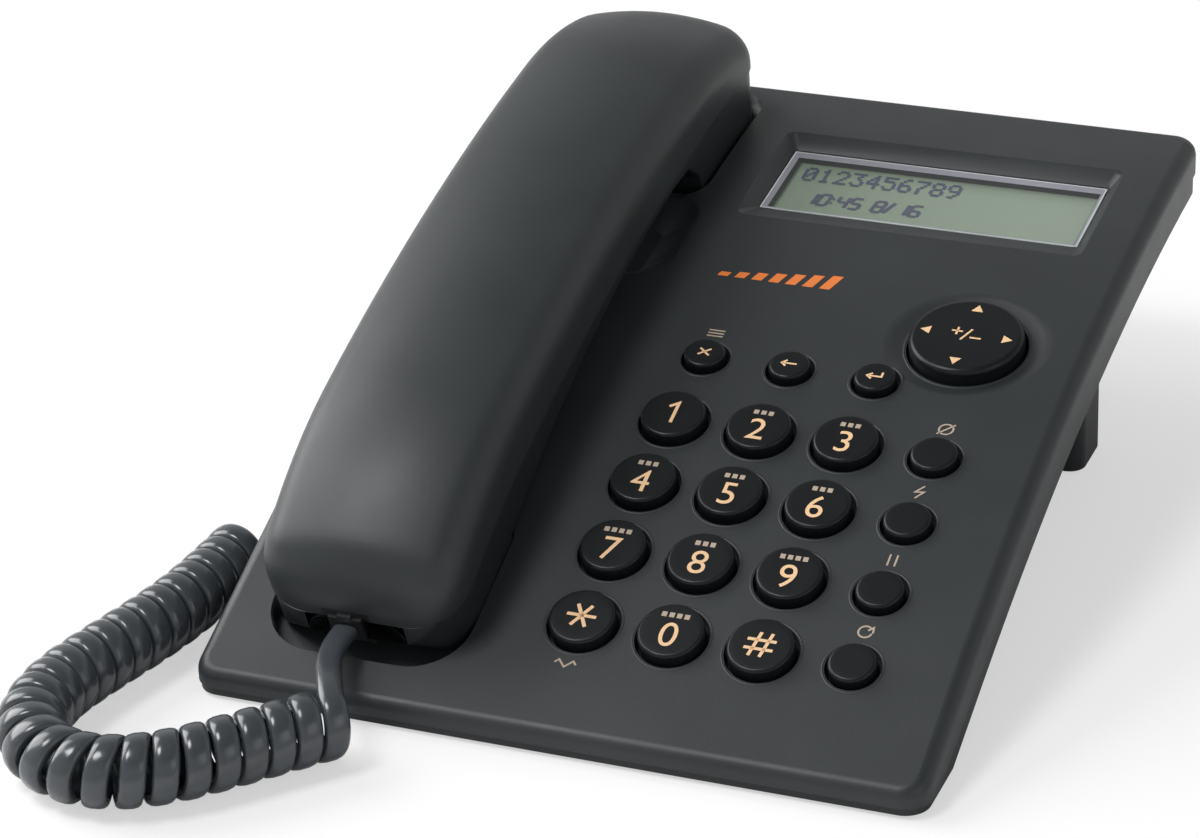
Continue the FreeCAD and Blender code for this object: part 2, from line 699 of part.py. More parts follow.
def makeDisplay():
    """Clear window in the bezel, the display glass behind it, and the tray that holds the glass."""
    along, x = size("window_along"), size("display_x")
    width, height, thick = size("window_width"), size("window_height"), size("window_thick")
    lensUnder = -size("bezel_depth") - 0.1 - thick
    glassThick, glassGap, floorThick, rimWide, lip = 1.8, 0.2, 1.4, 2.6, 1.8
    lens = newBody("display_window", arch.frame(x, along, lensUnder))
    plan = sketchOn(lens, "lensPlan")
    drawOutline(plan, roundedBox(-width / 2, width / 2, -height / 2, height / 2, 0.8))
    extrude(lens, "Pad", plan, thick, "Sizes.window_thick")
    glassUnder = lensUnder - glassGap - glassThick
    boxNode("display_glass", width - 2 * (lip + glassGap), height - 2 * (lip + glassGap), glassThick,
            arch.frame(x, along, glassUnder))
    trayUnder = glassUnder - 0.1 - floorThick
    tray = newBody("display_tray", arch.frame(x, along, trayUnder))
    rim = sketchOn(tray, "trayRim")
    drawOutline(rim, rectangle(width / 2 + rimWide, height / 2 + rimWide))
    drawOutline(rim, rectangle(width / 2 - lip, height / 2 - lip))
    extrude(tray, "Pad", rim, -size("bezel_depth") - wall - 0.1 - trayUnder)
    floor = sketchOn(tray, "trayFloor")
    drawOutline(floor, rectangle(width / 2 + rimWide, height / 2 + rimWide))
    extrude(tray, "Pad", floor, floorThick)


makeDisplay()


# Board, rubber mat and keys

def boardFrame():
    """The board is flat, so it follows the chord of the arched keypad."""
    first = Vector(0, *arch.point(size("board_front"), -size("board_depth")))
    last = Vector(0, *arch.point(size("board_back"), -size("board_depth")))
    slope = last.sub(first)
    angle = math.degrees(math.atan2(slope.z, slope.y))
    middle = first.add(last).multiply(0.5)
    place = Placement(Vector(size("board_x"), middle.y, middle.z), Rotation(Vector(1, 0, 0), angle))
    return place, slope.Length


def keyPlaces():
    """Every key: name, place across, place along, opening, rise."""
    digits = {("top", -1): "1", ("top", 0): "2", ("top", 1): "3", ("upper", -1): "4", ("upper", 0): "5",
              ("upper", 1): "6", ("lower", -1): "7", ("lower", 0): "8", ("lower", 1): "9",
              ("bottom", -1): "star", ("bottom", 0): "0", ("bottom", 1): "hash"}
    places = []
    for name, row in keyRows:
        for column in keyColumns:
            places.append(("key_" + digits[(name, column)], keyX(column), rowAlong(row), "key"))
    for label, row in (("mute", 1), ("flash", 0), ("pause", -1), ("redial", -2)):
        places.append((label + "_key", size("feature_x"), rowAlong(row), "feature"))
    for label, column in (("exit", -1), ("clear", 0), ("enter", 1)):
        places.append((label + "_key", keyX(column), size("function_along"), "function"))
    return places


def makeKey(label, x, along, kind):
    """A cap with a flange that the cover holds back."""
    body = newBody(label, arch.frame(x, along))
    gap, flange = size("key_gap"), size("flange_thick")
    under = size("wall") + 0.15
    face = sketchOn(body, label + "Cap", offset=lifted(-under - flange))
    addCircle(face, 0, 0, size(kind + "_hole") - 2 * gap, "Sizes.%s_hole - 2 * Sizes.key_gap" % kind)
    extrude(body, "Pad", face, under + flange + size(kind + "_rise"))
    rim = sketchOn(body, label + "Flange", offset=lifted(-under - flange))
    addCircle(rim, 0, 0, size(kind + "_hole") + 2 * size("flange_rim"),
              "Sizes.%s_hole + 2 * Sizes.flange_rim" % kind)
    extrude(body, "Pad", rim, flange, "Sizes.flange_thick")
    top = size(kind + "_rise")
    breakEdges(body, size("key_edge"), lambda edge: abs(edge.BoundBox.ZMin - top) < 1e-4, "Sizes.key_edge")
    return body


def makeMat(places, frame, length):
    """Silicone mat on the board with a boss under each key."""
    body = newBody("keypad_mat", frame)
    width = size("board_width") - 4.0
    plan = sketchOn(body, "matPlan")
    drawOutline(plan, roundedBox(-width / 2, width / 2, -length / 2 + 2, length / 2 - 2, 3.0))
    extrude(body, "Pad", plan, size("mat_thick"), "Sizes.mat_thick")
    inverse = frame.inverse()
    below = size("wall") + 0.15 + size("flange_thick") + size("key_travel") + 0.6
    for label, x, along, kind in places:
        seat = inverse.multVec(arch.frame(x, along, -below).Base)
        boss = sketchOn(body, label + "Boss")
        addCircle(boss, seat.x, seat.y, size(kind + "_hole") - 4.0)
        extrude(body, "Pad", boss, seat.z)
    # clear of the navigator, which tips over the board
    seat = inverse.multVec(arch.frame(size("navigator_x"), size("navigator_along")).Base)
    hole = sketchOn(body, "navigatorHole")
    addCircle(hole, seat.x, seat.y, size("navigator_hole") + 4.0)
    extrude(body, "Pocket", hole, 6.0, both=True)
    return body


def makeBoard(frame, length):
    body = newBody("main_board", frame)
    width = size("board_width")
    plan = sketchOn(body, "boardPlan", offset=lifted(-size("board_thick")))
    drawOutline(plan, roundedBox(-width / 2, width / 2, -length / 2, length / 2, 1.5))
    extrude(body, "Pad", plan, size("board_thick"), "Sizes.board_thick")
    return body


boardPlace, boardLength = boardFrame()
places = keyPlaces()
makeBoard(boardPlace, boardLength)
makeMat(places, boardPlace, boardLength)
for place in places:
    makeKey(*place)


# Navigator: a round key that tips four ways on a rubber rocker

def makeNavigator():
    frame = arch.frame(size("navigator_x"), size("navigator_along"))
    under = size("wall") + 1.1
    radius = size("navigator_hole") / 2 - size("navigator_gap")
    key = newBody("navigator_key", frame)
    face = sketchOn(key, "navigatorCap", offset=lifted(-under - 1.0))
    addCircle(face, 0, 0, 2 * radius, "Sizes.navigator_hole - 2 * Sizes.navigator_gap")
    extrude(key, "Pad", face, under + 1.0 + size("navigator_rise"))
    rim = sketchOn(key, "navigatorFlange", offset=lifted(-under - 1.0))
    addCircle(rim, 0, 0, 2 * radius + 3.0)
    extrude(key, "Pad", rim, 1.0)
    top = size("navigator_rise")
    roundEdges(key, 1.4, lambda edge: abs(edge.BoundBox.ZMin - top) < 1e-4)
    rocker = newBody("navigator_rocker", frame)
    thick = 1.2
    post = sketchOn(rocker, "rockerPost", offset=lifted(-under - 1.0 - 0.2 - thick))
    addCircle(post, 0, 0, size("rocker_width"), "Sizes.rocker_width")
    extrude(rocker, "Pad", post, thick)
    return key, rocker


makeNavigator()


# Hook switch, sounder and sockets inside the base

def makeHookSwitch():
    frame = arch.frame(size("hook_x"), size("hook_along"), -size("ear_well_depth"))
    travel = size("handset_lift") * size("hook_ratio")
    plunger = newBody("hook_plunger", frame)
    gap = size("fit_gap")
    width, depth = size("hook_width"), size("hook_length")
    stem = sketchOn(plunger, "plungerStem", offset=lifted(-size("well_floor") - travel - 4.0))
    drawOutline(stem, roundedBox(-width / 2, width / 2, -depth / 2, depth / 2, 1.5))
    extrude(plunger, "Pad", stem, size("well_floor") + travel + 4.0 + 0.05)
    flange = sketchOn(plunger, "plungerFlange", offset=lifted(-size("well_floor") - travel - 1.3))
    drawOutline(flange, roundedBox(-width / 2 - 2, width / 2 + 2, -depth / 2 - 1, depth / 2 + 1, 1.0))
    extrude(plunger, "Pad", flange, 1.2)
    top = size("ear_well_depth") + size("well_floor") + travel + 4.0 + 0.3
    floor = -size("belly_depth") + size("case_wall") + 0.1
    boxNode("hook_switch_body", 16.0, 12.0, -floor - top,
            arch.frame(size("hook_x"), size("hook_along"), floor), 0.8)


def cutHookSlot(cover):
    above = arch.frame(size("hook_x"), size("hook_along"), -size("ear_well_depth") + 2.0)
    slot = sketchOn(cover, "hookSlot", offset=above)
    width, depth = size("hook_width") + 0.6, size("hook_length") + 0.6
    drawOutline(slot, roundedBox(-width / 2, width / 2, -depth / 2, depth / 2, 1.8))
    extrude(cover, "Pocket", slot, 8.0)


def makeJack(label, frame, depth):
    """A modular socket: a block whose mouth opens along the frame's third axis."""
    body = newBody(label, frame)
    width, height = size("jack_width"), size("jack_height")
    block = sketchOn(body, label + "Block", offset=lifted(-depth))
    drawOutline(block, polygon([(-width / 2, -height / 2), (width / 2, -height / 2),
                                (width / 2, height / 2), (-width / 2, height / 2)]))
    extrude(body, "Pad", block, depth)
    mouth = sketchOn(body, label + "Mouth")
    plugX, plugY = size("plug_width") / 2 + 0.25, size("plug_height") / 2 + 0.25
    drawOutline(mouth, polygon([(-plugX, -plugY), (plugX, -plugY), (plugX, plugY), (2.0, plugY),
                                (2.0, plugY + 0.9), (-2.0, plugY + 0.9), (-2.0, plugY), (-plugX, plugY)]))
    extrude(body, "Pocket", mouth, size("plug_length") + 0.3)
    return body


def addBosses(cover):
    """Bosses that the case screws bite into, right over the case's posts."""
    foot = -size("cover_depth") + postRise + 0.05
    for i, (x, along) in enumerate(postPlaces()):
        boss = sketchOn(cover, "boss%d" % i, offset=arch.frame(x, along, foot))
        addCircle(boss, 0, 0, size("post_width"))
        extrude(cover, "Pad", boss, -foot - size("backing_top"))
        bore = sketchOn(cover, "bossBore%d" % i, offset=arch.frame(x, along, foot))
        addCircle(bore, 0, 0, size("screw_width") + 0.1)
        extrude(cover, "Pocket", bore, -foot - size("wall"), backwards=True)


makeHookSwitch()
cutHookSlot(topCover)
addBosses(topCover)
makeJack("cord_jack", sideJackFrame(), size("jack_depth"))
makeJack("line_jack", lineJackFrame(), size("jack_depth"))
makeJack("handset_jack", handsetJackFrame(), size("jack_depth"))


# Batteries behind their sliding cover

def makeBatteries():
    frame = arch.frame(size("battery_x"), size("battery_along"), -size("belly_depth"))
    lid = newBody("battery_cover", frame)
    gap = size("fit_gap")
    width, height = size("battery_width") - 2 * gap, size("battery_height") - 2 * gap
    plate = sketchOn(lid, "lidPlate", offset=lifted(0.05))
    drawOutline(plate, roundedBox(-width / 2, width / 2, -height / 2, height / 2, 1.3))
    extrude(lid, "Pad", plate, 1.8)
    cells = []
    for i in (-1, 0, 1):
        cell = doc.addObject("Part::Cylinder", "cell%d" % (i + 1))
        cell.setExpression("Radius", "Sizes.cell_width / 2")
        cell.setExpression("Height", "Sizes.cell_length")
        lay = Placement(Vector(-size("cell_length") / 2, i * (size("cell_width") + 0.8),
                               2.1 + size("cell_width") / 2), Rotation(Vector(0, 1, 0), 90))
        cell.Placement = frame.multiply(lay)
        cells.append(cell)
    group("batteries", cells)
    contacts = []
    for i, side in enumerate((-1, 1)):
        plate = doc.addObject("Part::Box", "contact%d" % i)
        plate.Length, plate.Width, plate.Height = 0.6, 3 * size("cell_width"), 10.0
        across = side * (size("cell_length") / 2 + 0.6) - 0.3
        place = Placement(Vector(across, -1.5 * size("cell_width"), 2.1), Rotation())
        plate.Placement = frame.multiply(place)
        contacts.append(plate)
    group("battery_contacts", contacts)


def makeSounder():
    """The ringer's flat loudspeaker, standing on the belly's floor."""
    body = newBody("sounder", arch.frame(size("sounder_x"), size("sounder_along"),
                                         -size("belly_depth") + size("case_wall") + 0.1))
    disc = sketchOn(body, "sounderDisc")
    addCircle(disc, 0, 0, size("sounder_width"), "Sizes.sounder_width")
    extrude(body, "Pad", disc, 3.0)
    magnet = sketchOn(body, "sounderMagnet")
    addCircle(magnet, 0, 0, 0.6 * size("sounder_width"))
    extrude(body, "Pad", magnet, 6.5)


makeBatteries()
makeSounder()


# Handset: an upper and a lower shell around earpiece, microphone, weight and socket

def tangentArc(start, direction, end):
    """The arc that leaves start along direction and reaches end."""
    chord = (end[0] - start[0], end[1] - start[1])
    length = math.hypot(*chord)
    turn = math.atan2(direction[0] * chord[1] - direction[1] * chord[0],
                      direction[0] * chord[0] + direction[1] * chord[1])
    heading = math.atan2(direction[1], direction[0])
    half = length / 2 / math.cos(turn / 2)
    middle = (start[0] + half * math.cos(heading + turn / 2), start[1] + half * math.sin(heading + turn / 2))
    return (start, middle, end)


def crownHeight(along):
    """The crown's height: level along the handle, falling away to both ends."""
    fall = 0.0
    if along < size("handset_drop_start"):
        span = size("handset_drop_start") - size("handset_front")
        fall = size("handset_drop") * ((size("handset_drop_start") - along) / span) ** 2
    rear = size("handset_back") - size("handset_rear_start")
    if along > rear:
        fall = size("handset_rear_drop") * ((along - rear) / size("handset_rear_start")) ** 2
    return size("handset_top") - fall


def quarter(radius, depth):
    """How far a quarter round draws in, at a depth from its flat end."""
    return radius - math.sqrt(radius ** 2 - (radius - depth) ** 2) if depth < radius else 0.0


def crownStations():
    """Places along the handset: close together in the rounded ends, far apart along the handle."""
    front, back, radius = size("handset_front"), size("handset_back"), size("handset_end_round")
    near = [radius * (1 - math.cos(math.radians(angle))) for angle in (0, 18, 34, 50, 66, 90)]
    first, last = front + radius, back - radius
    middle = [first + (last - first) * i / handleSteps for i in range(1, handleSteps)]
    return [(front + d, d) for d in near] + [(along, radius) for along in middle] + \
        [(back - d, d) for d in reversed(near)]


handleSteps = 9


def partingLine():
    """Where the two shells meet, from front to back."""
    nose = arch.point(size("handset_front") - 4.0, size("handset_nose_parting") - 0.4)
    slope = arch.slope(size("handset_drop_start"))
    run = arch.run(size("handset_drop_start"), size("handset_back") + 4.0, size("handset_parting"))
    droop = tangentArc(run[0][0], (-math.cos(slope), -math.sin(slope)), nose)
    return [droop[::-1]] + run


def trimEnd(body, name, along, width, radius, towardsBack):
    """Round the plan corners of one end, square to the base's top there."""
    reach, far, out = 60.0, 40.0, 30.0
    sketch = sketchOn(body, name, offset=arch.frame(size("cradle_x"), along, -reach / 2))
    side = 1 if towardsBack else -1
    edge = math.sqrt(0.5) * radius
    half, wide = width / 2, width / 2 + 8.0
    inner = half - radius
    corner = (inner + edge, -side * (radius - edge))
    drawOutline(sketch, joinUp(
        [((half, -side * far), (half, -side * radius)), ((half, -side * radius), corner, (inner, 0.0))],
        [((-inner, 0.0), (-corner[0], corner[1]), (-half, -side * radius)),
         ((-half, -side * radius), (-half, -side * far)), ((-half, -side * far), (-wide, -side * far)),
         ((-wide, -side * far), (-wide, side * out)), ((-wide, side * out), (wide, side * out)),
         ((wide, side * out), (wide, -side * far))]))
    return extrude(body, "Pocket", sketch, reach + 30.0, backwards=True)


def makeUpperShell():
    body = newBody("handset_upper_shell")
    half, shoulder, crown = size("handset_width") / 2, size("handset_shoulder"), size("handset_crown")
    deep = -size("handset_top") - 2.0
    sections = []
    for i, (along, depth) in enumerate(crownStations()):
        edge = size("handset_nose_edge" if along < size("handset_drop_start") else "handset_edge")
        height = crownHeight(along) - quarter(edge, depth) - crown
        place = arch.frame(size("cradle_x"), along, height).multiply(
            Placement(Vector(), Rotation(Vector(1, 0, 0), 90)))
        section = sketchOn(body, "crown%d" % i, offset=place)
        narrow = half - quarter(size("handset_end_round"), depth)
        flat = narrow - shoulder
        swell = crown * (flat / (half - shoulder)) ** 2
        lean = 2 * math.atan(swell / flat)
        radius = shoulder / (1 - math.sin(lean))
        drop = radius * math.cos(lean)
        turn = (math.pi / 2 + lean) / 2
        middle = (flat - radius * math.sin(lean) + radius * math.sin(turn), -drop + radius * math.cos(turn))
        drawOutline(section, joinUp(
            [((-flat, 0.0), (0.0, swell), (flat, 0.0))],
            [((flat, 0.0), middle, (narrow, -drop))],
            [((narrow, -drop), (narrow, deep)), ((narrow, deep), (-narrow, deep)),
             ((-narrow, deep), (-narrow, -drop))],
            [((-narrow, -drop), (-middle[0], middle[1]), (-flat, 0.0))]))
        sections.append(section)
    feature = body.newObject("PartDesign::AdditiveLoft", "upperLoft")
    feature.Profile = sections[0]
    feature.Sections = sections[1:]
    feature.Ruled = True
    doc.recompute()

    # cut to the parting line below
    x0, x1 = size("cradle_x") - half - 6, size("cradle_x") + half + 6
    parting = partingLine()
    cutBox(body, "upperUnder", x0, x1,
           joinUp(parting, [((parting[-1][-1][0] + 30, -60.0), (parting[0][0][0] - 40, -60.0))]))

    # hollow underneath, with bosses for the screws
    skin = size("handset_wall")
    back, front = size("handset_back") - 8.0, size("handset_front") + 8.0
    high = size("handset_top") - crown - skin
    cutBox(body, "upperHollow", size("cradle_x") - half + 2 * skin, size("cradle_x") + half - 2 * skin,
           joinUp(arch.run(back - 8.0, front + 26.0, high),
                  polygon([arch.point(front, size("handset_parting") - 1.0), arch.point(front, -20.0),
                           arch.point(back, -20.0), arch.point(back, 14.0)])[:3]))
    for i, along in enumerate(handsetScrewPlaces):
        foot = size("handset_parting") + 0.05
        boss = sketchOn(body, "handsetBoss%d" % i, offset=arch.frame(size("cradle_x"), along, foot))
        addCircle(boss, 0, 0, size("post_width"))
        extrude(body, "Pad", boss, high + 1.0 - foot)
        bore = sketchOn(body, "handsetBore%d" % i, offset=arch.frame(size("cradle_x"), along, foot))
        addCircle(bore, 0, 0, size("screw_width") + 0.1)
        extrude(body, "Pocket", bore, size("handset_screw"), backwards=True)
    cutJackMouth(body)
    return body


handsetScrewPlaces = (66.0, 96.0)


def cutJackMouth(body):
    """The opening in the front end that the socket's mouth shows through."""
    slot = sketchOn(body, body.Label + "Mouth", offset=handsetJackFrame().multiply(
        lifted(6.0)))
    width, height = size("jack_width") + 0.3, size("jack_height") + 0.3
    drawOutline(slot, polygon([(-width / 2, -height / 2), (width / 2, -height / 2),
                               (width / 2, height / 2), (-width / 2, height / 2)]))
    extrude(body, "Pocket", slot, size("jack_depth") + 6.3)


def seatPoint(well, along):
    """A place on the handset's underside, a seat's gap above that well's flat floor."""
    middle = (size(well + "_well_front") + size(well + "_well_back")) / 2
    y, z = arch.point(middle, -size(well + "_well_depth") + size("seat_gap"))
    slope = arch.slope(middle)
    return (y + (along - middle) * math.cos(slope), z + (along - middle) * math.sin(slope))


def lowerLine():
    """The lower shell's underside, from its back end to its front end."""
    back, front = size("handset_back"), size("handset_front")
    at = arch.point
    earBack, earFront = seatPoint("ear", back - 4.6), seatPoint("ear", back - 43.0)
    mouthBack, mouthFront = seatPoint("mouth", front + 28.0), seatPoint("mouth", front + 5.0)
    grip = tangentArc(at(back - 62.0, 9.4), (-math.cos(arch.slope(160.0)), -math.sin(arch.slope(160.0))),
                      at(front + 44.0, 2.4))
    return joinUp(
        [(at(back + 4.0, 20.0), at(back - 0.6, 6.0)), (at(back - 0.6, 6.0), earBack),
         (earBack, earFront), (earFront, at(back - 46.4, 3.0)),
         (at(back - 46.4, 3.0), at(back - 52.0, 8.4)), (at(back - 52.0, 8.4), at(back - 62.0, 9.4))],
        [grip],
        [(at(front + 44.0, 2.4), at(front + 34.0, 0.4)), (at(front + 34.0, 0.4), mouthBack),
         (mouthBack, mouthFront), (mouthFront, at(front + 1.2, 0.0)),
         (at(front + 1.2, 0.0), at(front - 4.0, 5.0))])[:-1]


def makeLowerShell():
    body = newBody("handset_lower_shell")
    half = size("handset_width") / 2 - 0.3
    x0, x1 = size("cradle_x") - half, size("cradle_x") + half
    padBox(body, "lowerSide", x0, x1, joinUp(lowerLine(), partingLine()))
    trimEnd(body, "lowerBack", size("handset_back") - 0.3, 2 * half, size("handset_end_round"), True)
    trimEnd(body, "lowerFront", size("handset_front") + 0.3, 2 * half, size("handset_end_round"), False)

    # room for the earpiece and the microphone
    skin = size("handset_wall")
    back, front = size("handset_back"), size("handset_front")
    ear, mouth = -size("ear_well_depth") + size("seat_gap"), -size("mouth_well_depth") + size("seat_gap")
    for name, first, last, floor in (("earRoom", back - 40.0, back - 8.0, ear + skin),
                                     ("mouthRoom", front + 4.4, front + 25.0, mouth + skin)):
        cutBox(body, name, x0 + skin, x1 - skin,
               polygon([arch.point(first, floor), arch.point(last, floor), arch.point(last, 30.0),
                        arch.point(first, 30.0)]))
    cutJackMouth(body)

    # sound holes: a ring round one in the middle at the ear, three slots at the mouth
    below = arch.frame(size("cradle_x"), back - 25.0, ear - 2.0)
    holes = sketchOn(body, "earHoles", offset=below)
    addCircle(holes, 0, 0, 2.0)
    for i in range(6):
        angle = math.radians(60 * i)
        addCircle(holes, 6.0 * math.cos(angle), 6.0 * math.sin(angle), 2.0)
    extrude(body, "Pocket", holes, skin + 3.0, backwards=True)
    slots = sketchOn(body, "mouthSlots", offset=arch.frame(size("cradle_x") + size("microphone_side"),
                                                           front + 17.0, mouth - 2.0))
    for y in (-2.6, 0.0, 2.6):
        drawOutline(slots, roundedBox(-4.0, 4.0, y - 0.6, y + 0.6, 0.59))
    extrude(body, "Pocket", slots, skin + 3.0, backwards=True)

    # counterbores for the handset's screws
    for i, frame in enumerate(handsetScrewFrames()):
        bore = sketchOn(body, "screwBore%d" % i, offset=frame.multiply(lifted(-12.0)))
        addCircle(bore, 0, 0, size("screw_width") + 0.3)
        extrude(body, "Pocket", bore, 30.0, backwards=True)
        seat = sketchOn(body, "screwSeat%d" % i,
                        offset=frame.multiply(lifted(size("screw_head"))))
        addCircle(seat, 0, 0, size("screw_head_width") + 0.6)
        extrude(body, "Pocket", seat, 20.0)
    return body


def handsetScrewFrames():
    """Where the heads' outer faces lie, up inside the lower shell."""
    above = size("handset_parting") - 3.4
    return [arch.frame(size("cradle_x"), along, above) for along in handsetScrewPlaces]


def makeHandsetInside():
    back, front = size("handset_back"), size("handset_front")
    ear, mouth = -size("ear_well_depth") + size("seat_gap"), -size("mouth_well_depth") + size("seat_gap")
    skin = size("handset_wall")
    receiver = newBody("earpiece", arch.frame(size("cradle_x"), back - 25.0, ear + skin + 0.1))
    disc = sketchOn(receiver, "earpieceDisc")
    addCircle(disc, 0, 0, 29.5)
    extrude(receiver, "Pad", disc, 4.0)
    magnet = sketchOn(receiver, "earpieceMagnet")
    addCircle(magnet, 0, 0, 20.0)
    extrude(receiver, "Pad", magnet, 8.5)
    frame = arch.frame(size("cradle_x") + size("microphone_side"), front + 17.0, mouth + skin + 0.1)
    boot = newBody("microphone_boot", frame)
    ring = sketchOn(boot, "bootRing")
    addCircle(ring, 0, 0, 12.4)
    addCircle(ring, 0, 0, 9.8)
    extrude(boot, "Pad", ring, 5.5)
    capsule = newBody("microphone", frame)
    can = sketchOn(capsule, "microphoneCan")
    addCircle(can, 0, 0, 9.7)
    extrude(capsule, "Pad", can, 5.0)
    boxNode("handset_weight", 24.0, 44.0, 5.0,
            arch.frame(size("cradle_x"), 134.0, size("handset_parting") + 0.1), 1.5)
    makeScrews("handset_screws", handsetScrewFrames(), size("handset_screw"), size("screw_width"),
               size("screw_head_width"), size("screw_head"))


makeUpperShell()
makeLowerShell()
makeHandsetInside()


# Curly cord

class Route:
    """Straight runs through hand-placed points, joined by arcs as large as the runs allow."""

    def __init__(self, points):
        points = [Vector(*point) for point in points]
        self.radii = []
        self.edges = []
        cursor = points[0]
        for before, corner, after in zip(points, points[1:], points[2:]):
            first, second = corner.sub(before), after.sub(corner)
            half = first.getAngle(second) / 2
            reach = 0.45 * min(first.Length, second.Length)
            radius = reach / math.tan(half)
            start = corner.sub(first.normalize().multiply(reach))
            end = corner.add(second.normalize().multiply(reach))
            inward = start.add(end).multiply(0.5).sub(corner).normalize()
            middle = corner.add(inward.multiply(radius / math.cos(half) - radius))
            self.edges.append(Part.LineSegment(cursor, start).toShape())
            self.edges.append(Part.Arc(start, middle, end).toShape())
            self.radii.append(radius)
            cursor = end
        self.edges.append(Part.LineSegment(cursor, points[-1]).toShape())
        self.length = sum(edge.Length for edge in self.edges)


def sweepTube(edges, diameter):
    """A tube with flat sides along tangent edges."""
    first = edges[0]
    point, direction = first.valueAt(first.FirstParameter), first.tangentAt(first.FirstParameter)
    across = direction.cross(Vector(0, 0, 1)).normalize()
    upward = across.cross(direction)
    corners = []
    for i in range(cordSides + 1):
        angle = 2 * math.pi * (i + 0.5) / cordSides
        corners.append(point.add(Vector(across).multiply(diameter / 2 * math.cos(angle))).add(
            Vector(upward).multiply(diameter / 2 * math.sin(angle))))
    return Part.Wire(edges).makePipeShell([Part.makePolygon(corners)], True, False)


cordSides = 8


def biarc(p0, t0, p1, t1):
    """Two arcs from p0 along t0 to p1 along t1."""
    chord = p1.sub(p0)
    both = t0.add(t1)
    k = 2 * (1 - t0.dot(t1))
    d = (-chord.dot(both) + math.sqrt(chord.dot(both) ** 2 + k * chord.dot(chord))) / k
    q0 = p0.add(Vector(t0).multiply(d))
    q1 = p1.sub(Vector(t1).multiply(d))
    joint = q0.add(q1).multiply(0.5)
    return [arcFrom(p0, t0, joint), arcFrom(p1, Vector(t1).multiply(-1), joint, True)]


def arcFrom(start, direction, end, flip=False):
    chord = end.sub(start)
    angle = chord.getAngle(direction)
    side = Vector(direction).sub(Vector(chord).normalize().multiply(direction.dot(Vector(chord).normalize())))
    rise = chord.Length / 2 * math.tan(angle / 2)
    middle = start.add(end).multiply(0.5).add(side.normalize().multiply(rise))
    return Part.Arc(end, middle, start).toShape() if flip else Part.Arc(start, middle, end).toShape()


coilPoints = [(-42.2, -122.8), (-55.6, -137.6), (-66.8, -149.6), (-79.6, -156.4), (-93.4, -154.2),
              (-102.6, -143.6), (-104.4, -129.6), (-101.0, -114.6), (-96.2, -97.6), (-93.2, -80.0),
              (-92.6, -62.0)]


class Coil:
    """A helix wound along a level route. The curls stand a little wider where the route bends."""

    def __init__(self, axis):
        self.radius = (size("coil_width") - size("cord_width")) / 2
        closest = size("cord_width") + size("coil_gap")
        self.spans = []
        self.turns = 0.0
        for edge in axis.edges:
            pitch = size("coil_pitch")
            if edge.Curve.TypeId == "Part::GeomCircle":
                pitch = max(pitch, closest / (1 - self.radius / edge.Curve.Radius))
            self.spans.append((self.turns, edge, pitch))
            self.turns += edge.Length / pitch
        # the coil starts on top and ends underneath, so it has a whole number of turns and a half
        self.stretch = self.turns / (math.floor(self.turns - 0.5) + 0.5)
        self.turns /= self.stretch

    def at(self, turn):
        turn *= self.stretch
        first, edge, pitch = [span for span in self.spans if span[0] <= turn + 1e-9][-1]
        distance = max(0.0, min((turn - first) * pitch, edge.Length))
        parameter = edge.getParameterByLength(distance)
        centre, along = edge.valueAt(parameter), edge.tangentAt(parameter)
        up = Vector(0, 0, 1)
        angle = math.pi / 2 + 2 * math.pi * turn / self.stretch
        return centre.add(along.cross(up).multiply(self.radius * math.cos(angle))).add(
            up.multiply(self.radius * math.sin(angle)))

    def heading(self, turn):
        step = 0.002
        return self.at(min(self.turns, turn + step)).sub(self.at(max(0.0, turn - step))).normalize()


def makeCoil():
    height = size("coil_width") / 2 + size("cord_lift")
    axis = Route([(x, y, height) for x, y in coilPoints])
    coil = Coil(axis)
    steps = int(round(2 * coil.turns))
    edges = []
    for i in range(steps):
        first, last = coil.turns * i / steps, coil.turns * (i + 1) / steps
        edges += biarc(coil.at(first), coil.heading(first), coil.at(last), coil.heading(last))
    tightest = min(edge.Curve.Radius for edge in edges)
    start, end = coil.at(0.0), coil.at(coil.turns)
    leadIn = start.sub(coil.heading(0.0).multiply(size("cord_width")))
    leadOut = end.add(coil.heading(coil.turns).multiply(size("cord_width")))
    edges = [Part.LineSegment(leadIn, start).toShape()] + edges + [Part.LineSegment(end, leadOut).toShape()]
    length = sum(edge.Length for edge in edges)
    print("coil axis radii", [round(radius, 1) for radius in axis.radii], "length %.1f" % axis.length)
    print("coil: %.1f curls, cord %.0f mm, least gap %.2f mm, tightest bend %.2f mm" % (
        coil.turns, length, leastGap(coil) - size("cord_width"), tightest))
    shapeNode("curly_cord", sweepTube(edges, size("cord_width")))
    return (leadIn, coil.heading(0.0).multiply(-1)), (leadOut, coil.heading(coil.turns)), length


def leastGap(coil):
    """Least distance between the cord's middle line on neighbouring curls, on sampled points."""
    perTurn = 24
    samples = [coil.at(min(i / perTurn, coil.turns)) for i in range(int(coil.turns * perTurn) + 1)]
    least = 1e9
    for i, point in enumerate(samples):
        for other in samples[i + perTurn // 2:i + perTurn * 2]:
            least = min(least, point.distanceToPoint(other))
    return least


def shapeNode(label, shape):
    node = doc.addObject("Part::Feature", label)
    node.Label = label
    node.Shape = shape
    return node


